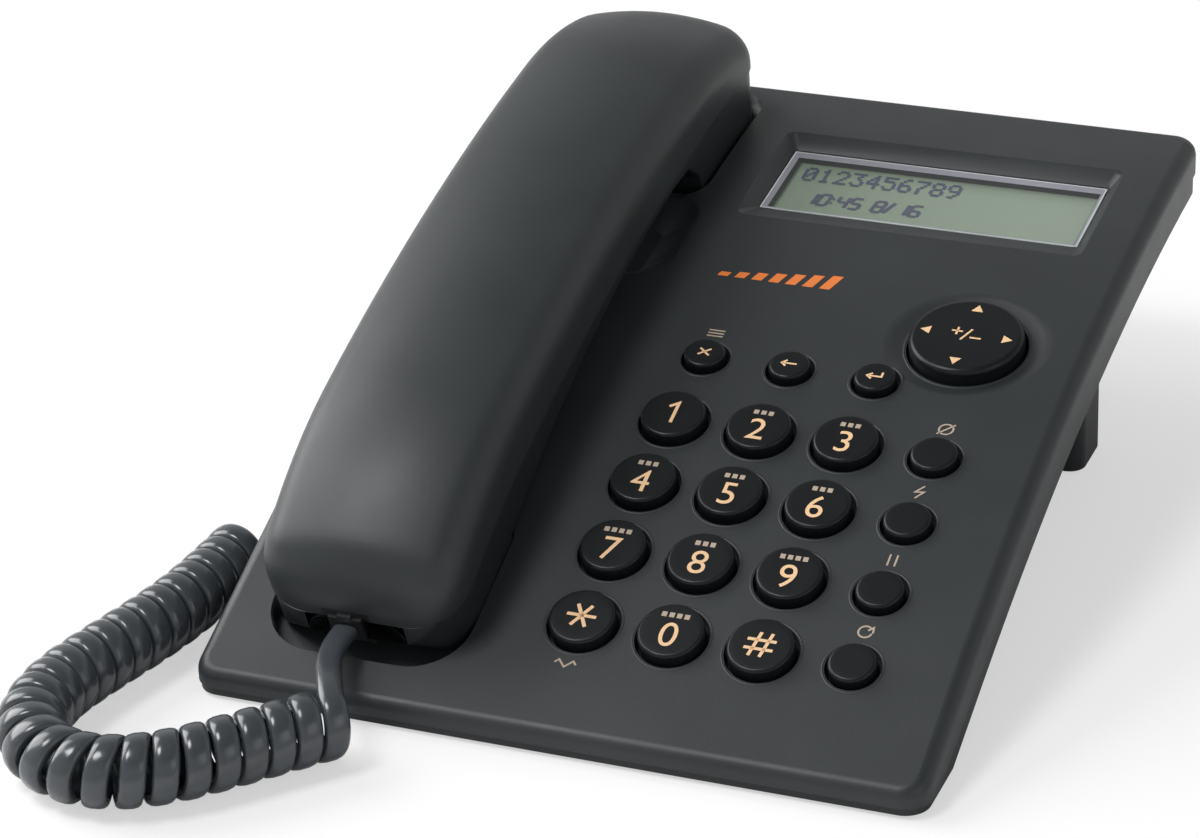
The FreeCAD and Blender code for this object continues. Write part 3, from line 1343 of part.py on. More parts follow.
def makePlug(label, jackFrame):
    """A modular plug pushed home in its socket, with its cord end at the back."""
    body = newBody(label, jackFrame)
    width, height, length = size("plug_width"), size("plug_height"), size("plug_length")
    block = sketchOn(body, label + "Block", offset=lifted(-length))
    drawOutline(block, polygon([(-width / 2, -height / 2), (width / 2, -height / 2),
                                (width / 2, height / 2), (-width / 2, height / 2)]))
    extrude(body, "Pad", block, length + size("plug_proud"))
    latch = sketchOn(body, label + "Latch", offset=lifted(-length + 3.0))
    drawOutline(latch, polygon([(-1.6, height / 2 - 0.2), (1.6, height / 2 - 0.2), (1.6, height / 2 + 0.7),
                                (-1.6, height / 2 + 0.7)]))
    extrude(body, "Pad", latch, length - 3.0 + size("plug_proud"))
    return body


def tailPoints(coilEnd, points, jackFrame):
    """From the coil's end to the plug's back, with a straight exit at both."""
    place, heading = coilEnd
    exits = [jackFrame.multVec(Vector(0, 0, size("plug_proud") + out)) for out in (size("cord_exit"), 0.0)]
    first = place.add(Vector(heading).multiply(size("cord_exit")))
    return [tuple(place), tuple(first)] + points + [tuple(point) for point in exits]


def makeCord():
    handsetEnd, baseEnd, total = makeCoil()
    makePlug("handset_plug", handsetJackFrame())
    makePlug("base_plug", sideJackFrame())
    handsetTail = [(-49.6, -109.6, 12.9)]
    baseTail = [(-75.2, -55.4, 3.4), (-73.2, -43.6, 7.6), (-73.6, -31.0, 13.2), (-75.6, -18.6, 18.6),
                (-76.2, -8.6, 22.2)]
    for label, end, points, jack in (("handset_cord_tail", handsetEnd, handsetTail, handsetJackFrame()),
                                     ("base_cord_tail", baseEnd, baseTail, sideJackFrame())):
        places = tailPoints(end, points, jack)
        route = Route(places)
        tube = sweepTube(route.edges, size("cord_width"))
        shapeNode(label, tube)
        section = cordSides / 2 * (size("cord_width") / 2) ** 2 * math.sin(2 * math.pi / cordSides)
        print(label, "radii", [round(radius, 1) for radius in route.radii], "length %.1f" % route.length,
              "volume ratio %.4f" % (tube.Volume / (section * route.length)))
        print(label, "points", [tuple(round(value, 1) for value in place) for place in places])
        total += route.length
    print("cord in all: %.0f mm" % total)


makeCord()


# Checks, then the files

doc.recompute()
nodeKinds = ("PartDesign::Body", "Part::Compound", "Part::Feature")
nodes = [item for item in doc.Objects if item.TypeId in nodeKinds]
failed = [item.Label for item in doc.Objects if "Invalid" in item.State or "Error" in item.State]
failed += [node.Label for node in nodes if node.Shape.isNull() or not node.Shape.isValid()]
if failed:
    raise RuntimeError("not built: " + ", ".join(failed))
for node in nodes:
    node.Shape.exportStep("parts/%s.step" % node.Label)
print("%d pieces written" % len(nodes))
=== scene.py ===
import bpy, bmesh, json, math
from mathutils import Matrix, Vector


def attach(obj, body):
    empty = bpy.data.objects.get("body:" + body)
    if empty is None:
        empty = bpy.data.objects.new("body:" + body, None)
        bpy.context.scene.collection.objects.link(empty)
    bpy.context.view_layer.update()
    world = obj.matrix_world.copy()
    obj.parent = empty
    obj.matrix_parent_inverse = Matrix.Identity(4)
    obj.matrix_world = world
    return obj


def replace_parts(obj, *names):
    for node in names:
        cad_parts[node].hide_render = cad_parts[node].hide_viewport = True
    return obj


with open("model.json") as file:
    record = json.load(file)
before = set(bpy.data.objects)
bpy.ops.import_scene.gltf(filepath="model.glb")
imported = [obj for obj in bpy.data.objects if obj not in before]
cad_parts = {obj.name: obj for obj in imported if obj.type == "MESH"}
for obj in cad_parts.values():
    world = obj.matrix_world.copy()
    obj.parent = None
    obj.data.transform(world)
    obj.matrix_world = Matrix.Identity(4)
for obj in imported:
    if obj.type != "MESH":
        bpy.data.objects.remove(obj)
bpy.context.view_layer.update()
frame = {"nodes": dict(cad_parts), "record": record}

# Looks of the corded telephone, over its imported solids. The sizes below are millimetres and
# degrees; what Blender gets is metres, in the solids' own frame.

nodeBody = {node: body for body, nodes in frame["record"]["behaviour"]["bodies"].items()
            for node in nodes}
print("frame:", len(frame["nodes"]), "nodes")


# the base's sloping top, straight at the front and arched behind: a place on it is given as
# (across, along, above)

baseTop = {"front": -109.5, "nose": 6.1, "tilt": 22.1, "straight": 40.0, "radius": 551.0}
baseTilt = math.radians(baseTop["tilt"])
kneeY = baseTop["front"] + baseTop["straight"] * math.cos(baseTilt)
archY = kneeY + baseTop["radius"] * math.sin(baseTilt)
archZ = (baseTop["nose"] + baseTop["straight"] * math.sin(baseTilt)
         - baseTop["radius"] * math.cos(baseTilt))


def slopeAt(along):
    return baseTilt - max(0.0, along - baseTop["straight"]) / baseTop["radius"]


def topPoint(across, along, above=0.0):
    slope = slopeAt(along)
    if along <= baseTop["straight"]:
        y = baseTop["front"] + along * math.cos(baseTilt)
        z = baseTop["nose"] + along * math.sin(baseTilt)
    else:
        y = archY - baseTop["radius"] * math.sin(slope)
        z = archZ + baseTop["radius"] * math.cos(slope)
    return Vector((across, y - above * math.sin(slope), z + above * math.cos(slope))) / 1000


def topFrame(across, along, above=0.0):
    place = Matrix.Translation(topPoint(across, along, above))
    return place @ Matrix.Rotation(slopeAt(along), 4, "X")


def onSlope(y, z):
    # the other way round: how far along the base's top a place lies, and how high above it
    slope = math.atan2(archY - y, z - archZ)
    return (baseTop["straight"] + baseTop["radius"] * (baseTilt - slope),
            math.hypot(y - archY, z - archZ) - baseTop["radius"])


def archNormal(place):
    # square to the base's top, at any place near it
    y, z = place.y * 1000, place.z * 1000
    if y < kneeY:
        return Vector((0, -math.sin(baseTilt), math.cos(baseTilt)))
    return Vector((0, y - archY, z - archZ)).normalized()


# the camera, where the photo was taken from. "place", "near" and "far" are metres, and "lens" is
# the focal length in sensor widths.

view = {"place": (0.29818, -0.79312, 0.45906), "turn": 22.48, "down": 27.04, "roll": -2.30,
        "sensor": 36, "lens": 3.4927, "near": 0.05, "far": 20}
turn, down, roll = (math.radians(view[key]) for key in ("turn", "down", "roll"))
right = Vector((math.cos(turn), math.sin(turn), 0))
back = Vector((math.sin(turn) * math.cos(down), -math.cos(turn) * math.cos(down), math.sin(down)))
upward = back.cross(right)
cameraX = right * math.cos(roll) + upward * math.sin(roll)
cameraY = upward * math.cos(roll) - right * math.sin(roll)
camera = bpy.data.objects.new("camera", bpy.data.cameras.new("camera"))
camera.data.sensor_width = view["sensor"]
camera.data.lens = view["lens"] * view["sensor"]
camera.data.clip_start, camera.data.clip_end = view["near"], view["far"]
facing = Matrix((cameraX, cameraY, back)).transposed().to_4x4()
camera.matrix_world = Matrix.Translation(view["place"]) @ facing
bpy.context.scene.collection.objects.link(camera)
bpy.context.scene.camera = camera
print("camera placed")


# helpers for pieces and their meshes


def makePiece(name, mesh, body, material):
    piece = bpy.data.objects.new(name, mesh)
    bpy.context.scene.collection.objects.link(piece)
    mesh.materials.clear()
    mesh.materials.append(material)
    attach(piece, body)
    return piece


def meshFrom(name, points, faces, smooth=True):
    mesh = bpy.data.meshes.new(name)
    mesh.from_pydata([tuple(p) for p in points], [], faces)
    mesh.update()
    for face in mesh.polygons:
        face.use_smooth = smooth
    return mesh


def faceOutward(mesh):
    skin = bmesh.new()
    skin.from_mesh(mesh)
    bmesh.ops.recalc_face_normals(skin, faces=skin.faces)
    skin.to_mesh(mesh)
    skin.free()


def loft(name, points, wide):
    # a closed skin over rings of as many points each, with both ends filled
    count = len(points) // wide
    faces = []
    for i in range(count - 1):
        for j in range(wide):
            k = (j + 1) % wide
            faces.append((i * wide + j, i * wide + k, (i + 1) * wide + k, (i + 1) * wide + j))
    faces.append(tuple(range(wide))[::-1])
    faces.append(tuple((count - 1) * wide + j for j in range(wide)))
    mesh = meshFrom(name, points, faces)
    faceOutward(mesh)
    return mesh


def finishedMesh(holder):
    # what an object shows once its curve or its modifiers are worked out
    bpy.context.scene.collection.objects.link(holder)
    bpy.context.view_layer.update()
    shown = holder.evaluated_get(bpy.context.evaluated_depsgraph_get())
    mesh = bpy.data.meshes.new_from_object(shown)
    bpy.data.objects.remove(holder)
    return mesh


smoothLine = {"order": 3, "steps": 8}


def linePoints(controls):
    # a smooth line led by its control points, as a run of close points
    curve = bpy.data.curves.new("line", "CURVE")
    curve.dimensions = "3D"
    spline = curve.splines.new("NURBS")
    spline.points.add(len(controls) - 1)
    for point, place in zip(spline.points, controls):
        point.co = (*place, 1)
    spline.order_u = smoothLine["order"]
    spline.use_endpoint_u = True
    spline.resolution_u = smoothLine["steps"]
    mesh = finishedMesh(bpy.data.objects.new("line", curve))
    points = [vertex.co.copy() for vertex in mesh.vertices]
    bpy.data.curves.remove(curve)
    bpy.data.meshes.remove(mesh)
    return points


# helpers for materials

def startMaterial(name):
    material = bpy.data.materials.new(name)
    material.use_nodes = True
    return material, material.node_tree, material.node_tree.nodes["Principled BSDF"]


def setInputs(node, values):
    for name, value in values.items():
        node.inputs[name].default_value = value


def addNode(tree, kind, values=None):
    node = tree.nodes.new("ShaderNode" + kind)
    setInputs(node, values or {})
    return node


def noiseOver(tree, scale, detail=2):
    place = addNode(tree, "TexCoord")
    cloud = addNode(tree, "TexNoise", {"Scale": scale, "Detail": detail})
    tree.links.new(place.outputs["Object"], cloud.inputs["Vector"])
    return cloud.outputs["Fac"]


def spreadOver(tree, value, low, high):
    spread = addNode(tree, "MapRange", {"To Min": low, "To Max": high})
    tree.links.new(value, spread.inputs["Value"])
    return spread.outputs["Result"]


def tonesOver(tree, value, steps):
    ramp = addNode(tree, "ValToRGB")
    elements = ramp.color_ramp.elements
    while len(elements) < len(steps):
        elements.new(0.5)
    for element, (position, colour) in zip(elements, steps):
        element.position = position
        element.color = (*colour, 1)
    tree.links.new(value, ramp.inputs["Fac"])
    return ramp.outputs["Color"]


# materials: noise scales are per metre, the grain's depth in metres

moulded = {"cloud": 34, "cloudDetail": 3, "dark": 0.3, "light": 0.72, "smear": 90,
           "smearDetail": 4, "duller": 0.06, "glossier": 0.05, "grainDepth": 0.0002,
           "coatRough": 0.2}


def plastic(name, dark, light, rough, grain=0.12, grainSize=2600, coat=0.0, shine=0.36):
    # moulded plastic: mottled colour, uneven gloss and a fine spark-eroded grain
    material, tree, shader = startMaterial(name)
    cloud = noiseOver(tree, moulded["cloud"], moulded["cloudDetail"])
    colour = tonesOver(tree, cloud, ((moulded["dark"], dark), (moulded["light"], light)))
    tree.links.new(colour, shader.inputs["Base Color"])
    smear = noiseOver(tree, moulded["smear"], moulded["smearDetail"])
    gloss = spreadOver(tree, smear, rough - moulded["glossier"], rough + moulded["duller"])
    tree.links.new(gloss, shader.inputs["Roughness"])
    bump = addNode(tree, "Bump", {"Strength": grain, "Distance": moulded["grainDepth"]})
    tree.links.new(noiseOver(tree, grainSize), bump.inputs["Height"])
    tree.links.new(bump.outputs["Normal"], shader.inputs["Normal"])
    setInputs(shader, {"Specular IOR Level": shine, "Coat Weight": coat,
                       "Coat Roughness": moulded["coatRough"]})
    return material


scratched = {"scale": 700, "detail": 5, "spread": 0.1}


def metal(name, colour, rough):
    material, tree, shader = startMaterial(name)
    setInputs(shader, {"Base Color": (*colour, 1), "Metallic": 1.0})
    scratches = noiseOver(tree, scratched["scale"], scratched["detail"])
    gloss = spreadOver(tree, scratches, rough - scratched["spread"], rough + scratched["spread"])
    tree.links.new(gloss, shader.inputs["Roughness"])
    return material


ink = {"scale": 2200, "thin": 0.86, "full": 1.08, "rough": 0.55}


def printed(name, colour):
    # printing ink, slightly uneven in cover
    material, tree, shader = startMaterial(name)
    thin = [c * ink["thin"] for c in colour]
    full = [min(1, c * ink["full"]) for c in colour]
    cover = tonesOver(tree, noiseOver(tree, ink["scale"]), ((0.0, thin), (1.0, full)))
    tree.links.new(cover, shader.inputs["Base Color"])
    setInputs(shader, {"Roughness": ink["rough"]})
    return material


crystal = {"start": (-0.028, -0.06, 0), "scale": (12, 12, 12), "left": (0.160, 0.228, 0.147),
           "right": (0.190, 0.255, 0.186), "rightAt": 0.7, "rough": 0.35}


def displayFace():
    # the reflective liquid crystal: green, made a little lighter to the right by a painted gradient
    # of light
    material, tree, shader = startMaterial("displayFace")
    place = addNode(tree, "TexCoord")
    shift = addNode(tree, "Mapping", {"Location": crystal["start"], "Scale": crystal["scale"]})
    fade = addNode(tree, "TexGradient")
    tree.links.new(place.outputs["Object"], shift.inputs["Vector"])
    tree.links.new(shift.outputs["Vector"], fade.inputs["Vector"])
    steps = ((0.0, crystal["left"]), (crystal["rightAt"], crystal["right"]))
    green = tonesOver(tree, fade.outputs["Fac"], steps)
    tree.links.new(green, shader.inputs["Base Color"])
    setInputs(shader, {"Roughness": crystal["rough"]})
    return material


clear = {"colour": (0.75, 0.78, 0.77, 1), "cover": 0.06, "haze": 120, "gloss": (0.04, 0.10)}


def windowClear():
    material, tree, shader = startMaterial("windowClear")
    setInputs(shader, {"Base Color": clear["colour"], "Alpha": clear["cover"]})
    gloss = spreadOver(tree, noiseOver(tree, clear["haze"]), *clear["gloss"])
    tree.links.new(gloss, shader.inputs["Roughness"])
    return material


bodyPlastic = plastic("bodyPlastic", (0.0215, 0.0250, 0.0270), (0.0265, 0.0305, 0.0328), 0.43)
# the body's plastic made darker: painted shade for the handset's lower shell, the bottom case,
# stand, battery cover and hook plunger
shadedLowerPlastic = plastic("shadedLowerPlastic", (0.0120, 0.0140, 0.0155), (0.0160, 0.0185, 0.0200), 0.42)
keyPlastic = plastic("keyPlastic", (0.0052, 0.0064, 0.0072), (0.0072, 0.0088, 0.0096), 0.33,
                     grain=0.08, shine=0.24)
innerPlastic = plastic("innerPlastic", (0.010, 0.010, 0.011), (0.016, 0.016, 0.018), 0.5)
silicone = plastic("silicone", (0.24, 0.24, 0.25), (0.30, 0.30, 0.31), 0.62, grain=0.05)
footRubber = plastic("footRubber", (0.012, 0.012, 0.013), (0.02, 0.02, 0.021), 0.75,
                     grain=0.2, grainSize=1400)
boardGreen = plastic("boardGreen", (0.012, 0.07, 0.022), (0.02, 0.10, 0.035), 0.38,
                     grain=0.04, coat=0.3)
batteryWrap = plastic("batteryWrap", (0.22, 0.22, 0.25), (0.30, 0.30, 0.33), 0.28, grain=0.02)
cordJacket = plastic("cordJacket", (0.040, 0.046, 0.052), (0.050, 0.057, 0.064), 0.2,
                     grain=0.04, grainSize=1500, shine=0.55)
plugPlastic = plastic("plugPlastic", (0.012, 0.012, 0.013), (0.018, 0.018, 0.02), 0.3, grain=0.03)
# painted highlights: a pale band and a bright line where the display window's clear edge catches
# light
paintedRimHighlight = plastic("paintedRimHighlight", (0.21, 0.215, 0.24), (0.28, 0.285, 0.32), 0.3, grain=0.02)
paintedEdgeHighlight = plastic("paintedEdgeHighlight", (0.42, 0.43, 0.45), (0.55, 0.56, 0.58), 0.2, grain=0.02)
steel = metal("steel", (0.58, 0.58, 0.58), 0.35)
creamInk = printed("creamInk", (0.80, 0.52, 0.29))
tanInk = printed("tanInk", (0.42, 0.34, 0.26))
orangeInk = printed("orangeInk", (0.78, 0.20, 0.035))
segmentInk = printed("segmentInk", (0.005, 0.012, 0.070))

madeOf = (
    (bodyPlastic, "top_cover handset_upper_shell"),
    (shadedLowerPlastic, "handset_lower_shell bottom_case desk_stand battery_cover hook_plunger"),
    (innerPlastic, "display_tray navigator_rocker hook_switch_body cord_jack line_jack "
                   "handset_jack sounder earpiece"),
    (footRubber, "rubber_feet"),
    (steel, "case_screws handset_screws battery_contacts microphone handset_weight"),
    (windowClear(), "display_window"), (displayFace(), "display_glass"),
    (boardGreen, "main_board"), (batteryWrap, "batteries"),
    (silicone, "keypad_mat microphone_boot"),
    (cordJacket, "curly_cord handset_cord_tail base_cord_tail"),
    (plugPlastic, "handset_plug base_plug"))
nodeMaterials = {name: material for material, names in madeOf for name in names.split()}
for name, node in frame["nodes"].items():
    for slot in node.material_slots:
        slot.material = nodeMaterials.get(name, keyPlastic)
print("materials made")


# the outer mouldings: the solid's own faces, welded and shaded as one smooth skin

shading = {"weld": 2e-6, "thin": 1e-7, "sharp": 24, "weight": 80, "lean": 4.0}


def smoothCopy(nodeName, pieceName, arched):
    mesh = frame["nodes"][nodeName].data.copy()
    mesh.name = pieceName
    skin = bmesh.new()
    skin.from_mesh(mesh)
    bmesh.ops.remove_doubles(skin, verts=skin.verts, dist=shading["weld"])
    bmesh.ops.dissolve_degenerate(skin, dist=shading["thin"], edges=skin.edges)
    skin.to_mesh(mesh)
    skin.free()
    mesh.polygons.foreach_set("use_smooth", [True] * len(mesh.polygons))
    mesh.update()
    mesh.set_sharp_from_angle(angle=math.radians(shading["sharp"]))
    holder = bpy.data.objects.new("holder", mesh)
    weights = holder.modifiers.new("facesFirst", "WEIGHTED_NORMAL")
    weights.keep_sharp = True
    weights.weight = shading["weight"]
    finished = finishedMesh(holder)
    finished.name = pieceName
    if arched:
        # where a face follows the base's top, so does its shading
        normals = [Vector(corner.vector) for corner in finished.corner_normals]
        near = math.cos(math.radians(shading["lean"]))
        for face in finished.polygons:
            lean = face.normal.dot(archNormal(face.center))
            if abs(lean) > near:
                for corner in face.loop_indices:
                    place = finished.vertices[finished.loops[corner].vertex_index].co
                    normals[corner] = archNormal(place) * math.copysign(1, lean)
        finished.normals_split_custom_set([tuple(n) for n in normals])
    material = nodeMaterials.get(nodeName, keyPlastic)
    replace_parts(makePiece(pieceName, finished, nodeBody[nodeName], material), nodeName)


smoothPieces = {"top_cover": "topCover", "bottom_case": "bottomCase", "desk_stand": "deskStand",
                "battery_cover": "batteryCover", "rubber_feet": "rubberFeet",
                "navigator_key": "navigatorKey", "display_window": "displayWindow"}
for name, pieceName in smoothPieces.items():
    smoothCopy(name, pieceName, name in ("top_cover", "bottom_case"))
print("mouldings shaded:", len(smoothPieces))


# the keys: turned caps with softly rounded tops, each on its flange. A kind of key is given by
# its opening and by its height above the base's top.

keypad = {"x": 18.5, "along": 69.2, "pitch": 20.0, "sideX": 58.5, "smallAlong": 110.4,
          "round": 0.8, "roundSteps": 8, "gap": 0.9, "rim": 0.9, "bottom": -3.55, "flange": 1.0,
          "flatFrom": 2.2, "sides": 96, "sharp": 40}
keyKinds = {"digit": (16.3, 2.6), "feature": (12.2, 2.0), "function": (11.2, 2.0)}


def column(i):
    return keypad["x"] + keypad["pitch"] * (i - 1)


def row(i):
    return keypad["along"] + keypad["pitch"] * (1 - i)


keyCaps = {"key_" + text: (column(i % 3), row(i // 3), "digit")
           for i, text in enumerate("1 2 3 4 5 6 7 8 9 star 0 hash".split())}
keyCaps.update({name + "_key": (keypad["sideX"], row(i), "feature")
                for i, name in enumerate(("mute", "flash", "pause", "redial"))})
keyCaps.update({name + "_key": (column(i), keypad["smallAlong"], "function")
                for i, name in enumerate(("exit", "clear", "enter"))})


def turned(name, profile, sides, place):
    # a turned form: its profile is (radius, height) from the bottom's middle to the top's
    points, faces, rings = [], [], []
    for radius, height in profile:
        if radius == 0:
            rings.append([len(points)])
            points.append(place @ Vector((0, 0, height / 1000)))
            continue
        rings.append(list(range(len(points), len(points) + sides)))
        for j in range(sides):
            angle = 2 * math.pi * j / sides
            spot = Vector((radius * math.cos(angle), radius * math.sin(angle), height))
            points.append(place @ (spot / 1000))
    for low, high in zip(rings, rings[1:]):
        for j in range(sides):
            k = (j + 1) % sides
            if len(low) == 1:
                faces.append((low[0], high[k], high[j]))
            elif len(high) == 1:
                faces.append((low[j], low[k], high[0]))
            else:
                faces.append((low[j], low[k], high[k], high[j]))
    return meshFrom(name, points, faces)


for node, (across, along, kind) in keyCaps.items():
    hole, rise = keyKinds[kind]
    cap, flange, low = hole / 2 - keypad["gap"], hole / 2 + keypad["rim"], keypad["bottom"]
    profile = [(0, low), (flange, low), (flange, low + keypad["flange"]),
               (cap, low + keypad["flange"]), (cap, rise - keypad["round"])]
    for i in range(1, keypad["roundSteps"] + 1):
        angle = math.pi / 2 * i / keypad["roundSteps"]
        profile.append((cap - keypad["round"] * (1 - math.cos(angle)),
                        rise - keypad["round"] * (1 - math.sin(angle))))
    profile += [(cap - keypad["flatFrom"], rise), (0, rise)]
    words = node.split("_")
    pieceName = words[0] + "".join(word.title() for word in words[1:])
    mesh = turned(pieceName, profile, keypad["sides"], topFrame(across, along))
    mesh.set_sharp_from_angle(angle=math.radians(keypad["sharp"]))
    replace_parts(makePiece(pieceName, mesh, node, keyPlastic), node)
print("keys turned:", len(keyCaps))


# rounded lips of the key openings: one ring for each, set out by geometry nodes

lips = {"round": 0.45, "proud": 0.09, "outward": 0.9, "sides": 72, "profile": 12}
navigator = {"across": 54.4, "along": 127.6, "rise": 2.4, "hole": 27.4, "dish": -1.3,
             "arrowOut": 9.3, "arrow": 1.35, "arrowTail": 0.7}
openings = [(across, along, keyKinds[kind][0], 0.0) for across, along, kind in keyCaps.values()]
openings.append(tuple(navigator[key] for key in ("across", "along", "hole", "dish")))


def lipTree():
    tree = bpy.data.node_groups.new("openingLips", "GeometryNodeTree")
    face, nodes, link = tree.interface, tree.nodes, tree.links.new
    for name, kind in (("Centres", "Geometry"), ("Lip Round", "Float"), ("Ring Sides", "Int"),
                       ("Profile Sides", "Int"), ("Finish", "Material")):
        face.new_socket(name, in_out="INPUT", socket_type="NodeSocket" + kind)
    face.new_socket("Lips", in_out="OUTPUT", socket_type="NodeSocketGeometry")
    given, result = nodes.new("NodeGroupInput"), nodes.new("NodeGroupOutput")
    ring = nodes.new("GeometryNodeCurvePrimitiveCircle")
    profile = nodes.new("GeometryNodeCurvePrimitiveCircle")
    ring.inputs["Radius"].default_value = 1.0
    link(given.outputs["Ring Sides"], ring.inputs["Resolution"])
    link(given.outputs["Lip Round"], profile.inputs["Radius"])
    link(given.outputs["Profile Sides"], profile.inputs["Resolution"])
    lean = nodes.new("GeometryNodeInputNamedAttribute")
    lean.data_type = "FLOAT_VECTOR"
    lean.inputs["Name"].default_value = "lean"
    reach = nodes.new("GeometryNodeInputNamedAttribute")
    reach.data_type = "FLOAT"
    reach.inputs["Name"].default_value = "reach"
    rotation = nodes.new("FunctionNodeEulerToRotation")
    link(lean.outputs["Attribute"], rotation.inputs[0])
    placed = nodes.new("GeometryNodeInstanceOnPoints")
    link(given.outputs["Centres"], placed.inputs["Points"])
    link(ring.outputs["Curve"], placed.inputs["Instance"])
    link(rotation.outputs[0], placed.inputs["Rotation"])
    link(reach.outputs["Attribute"], placed.inputs["Scale"])
    real = nodes.new("GeometryNodeRealizeInstances")
    tube = nodes.new("GeometryNodeCurveToMesh")
    paint = nodes.new("GeometryNodeSetMaterial")
    link(placed.outputs["Instances"], real.inputs["Geometry"])
    link(real.outputs["Geometry"], tube.inputs["Curve"])
    link(profile.outputs["Curve"], tube.inputs["Profile Curve"])
    link(tube.outputs["Mesh"], paint.inputs["Geometry"])
    link(given.outputs["Finish"], paint.inputs["Material"])
    link(paint.outputs["Geometry"], result.inputs["Lips"])
    return tree


def makeLips():
    sunk = lips["proud"] - lips["round"]
    centres = [topPoint(across, along, above + sunk) for across, along, hole, above in openings]
    mesh = meshFrom("openingLips", centres, [])
    mesh.attributes.new("lean", "FLOAT_VECTOR", "POINT")
    mesh.attributes.new("reach", "FLOAT", "POINT")
    for i, (across, along, hole, above) in enumerate(openings):
        radius = hole / 2 + lips["round"] * lips["outward"]
        mesh.attributes["lean"].data[i].vector = (slopeAt(along), 0, 0)
        mesh.attributes["reach"].data[i].value = radius / 1000
    holder = bpy.data.objects.new("openingLips", mesh)
    maker = holder.modifiers.new("lips", "NODES")
    maker.node_group = lipTree()
    wanted = {"Lip Round": lips["round"] / 1000, "Ring Sides": lips["sides"],
              "Profile Sides": lips["profile"], "Finish": bodyPlastic}
    for socket in maker.node_group.interface.items_tree:
        if socket.in_out == "INPUT" and socket.name in wanted:
            maker[socket.identifier] = wanted[socket.name]
    finished = finishedMesh(holder)
    for face in finished.polygons:
        face.use_smooth = True
    faceOutward(finished)
    print("lips:", len(finished.polygons), "faces")
    makePiece("openingLips", finished, "root", bodyPlastic)


makeLips()


# the handset's upper shell, along the same rule as its solid: a crowned section that falls away
# towards both ends and is rounded in plan there

handset = {"across": -48.0, "front": 15.2, "back": 219.2, "half": 23.5, "shoulder": 6.4,
           "crown": 2.3, "top": 29.8, "endRound": 12.0, "noseEdge": 9.0, "rearEdge": 5.0,
           "dropStart": 64.0, "drop": 10.5, "rearStart": 40.0, "rearDrop": 8.6,
           "parting": 12.0, "noseParting": 5.7, "partingEnd": 4.0, "seam": 0.22, "sharp": 40,
           "endSteps": 14, "sections": 70, "sideSteps": 5, "roundSteps": 10, "crownSteps": 12}
# between the ends: a depth past both rounds, and any edge, as none is cut there
pastEnds, noEdge = 99.0, 1.0
endDepths = [handset["endRound"] * (1 - math.cos(math.radians(90 * i / handset["endSteps"])))
             for i in range(handset["endSteps"] + 1)]


def crownHeight(along):
    fall = 0.0
    if along < handset["dropStart"]:
        run = handset["dropStart"] - handset["front"]
        fall = handset["drop"] * ((handset["dropStart"] - along) / run) ** 2
    rear = handset["back"] - handset["rearStart"]
    if along > rear:
        fall = handset["rearDrop"] * ((along - rear) / handset["rearStart"]) ** 2
    return handset["top"] - fall


def quarter(radius, depth):
    # how far a quarter round lies inside its corner, at a depth from the end
    return radius - math.sqrt(radius ** 2 - (radius - depth) ** 2) if depth < radius else 0.0


def partingHeight(along):
    if along > handset["dropStart"]:
        return handset["parting"]
    run = handset["dropStart"] - handset["front"] + handset["partingEnd"]
    share = (handset["dropStart"] - along) / run
    return handset["parting"] + (handset["noseParting"] - handset["parting"]) * share ** 2


def shellSection(along, depth, edge):
    # across one station: up the left side, over the crown and down the right
    narrow = handset["half"] - quarter(handset["endRound"], depth)
    level = crownHeight(along) - quarter(edge, depth) - handset["crown"]
    flat = narrow - handset["shoulder"]
    swell = handset["crown"] * (flat / (handset["half"] - handset["shoulder"])) ** 2
    lean = 2 * math.atan(swell / flat)
    radius = handset["shoulder"] / (1 - math.sin(lean))
    roundX, roundN = flat - radius * math.sin(lean), level - radius * math.cos(lean)
    low = partingHeight(along) + handset["seam"]
    steps = handset["sideSteps"]
    side = [(narrow, low + (roundN - low) * i / steps) for i in range(steps + 1)]
    for i in range(1, handset["roundSteps"] + 1):
        angle = (math.pi / 2 - lean) * i / handset["roundSteps"]
        side.append((roundX + radius * math.cos(angle), roundN + radius * math.sin(angle)))
    ridge = (flat ** 2 + swell ** 2) / (2 * swell)
    top = []
    for i in range(1, 2 * handset["crownSteps"]):
        x = flat * (1 - i / handset["crownSteps"])
        top.append((-x, level + swell - ridge + math.sqrt(ridge ** 2 - x ** 2)))
    return [(-x, n) for x, n in side] + top + side[::-1]


def makeUpperShell():
    first, last = handset["front"] + handset["endRound"], handset["back"] - handset["endRound"]
    count = handset["sections"]
    stations = [(handset["front"] + d, d, handset["noseEdge"]) for d in endDepths]
    stations += [(first + (last - first) * i / count, pastEnds, noEdge) for i in range(1, count)]
    stations += [(handset["back"] - d, d, handset["rearEdge"]) for d in reversed(endDepths)]
    points = []
    for along, depth, edge in stations:
        section = shellSection(along, depth, edge)
        points += [topPoint(handset["across"] + x, along, n) for x, n in section]
    mesh = loft("handsetUpperShell", points, len(section))
    mesh.set_sharp_from_angle(angle=math.radians(handset["sharp"]))
    piece = makePiece("handsetUpperShell", mesh, "handset", bodyPlastic)
    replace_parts(piece, "handset_upper_shell")


# the lower shell: its underside steps down into the two wells, with an arched grip between
# them. Places on it are distances from the front end ("mouth", "gripFront") or the back end
# ("earWall", "earFloorAt", "rearEnd", "gripBack"), with the height above the base's top.

lower = {"inset": 0.3, "edge": 1.2, "edgeSteps": 5, "edgeShare": 0.45, "least": 0.1, "sharp": 22,
         "mouth": ((-4.0, 5.0), (1.2, 0.0), (5.0, -5.0), (28.0, -5.0), (34.0, 0.4)),
         "gripFront": (44.0, 2.4), "gripBack": (62.0, 9.4), "gripAt": 160.0, "gripSteps": 14,
         "earWall": ((52.0, 8.4), (46.4, 3.0)), "earFloor": -8.0, "earMiddle": 194.5,
         "earFloorAt": (43.0, 24.7, 4.6), "rearEnd": ((0.6, 6.0), (-4.0, 20.0))}


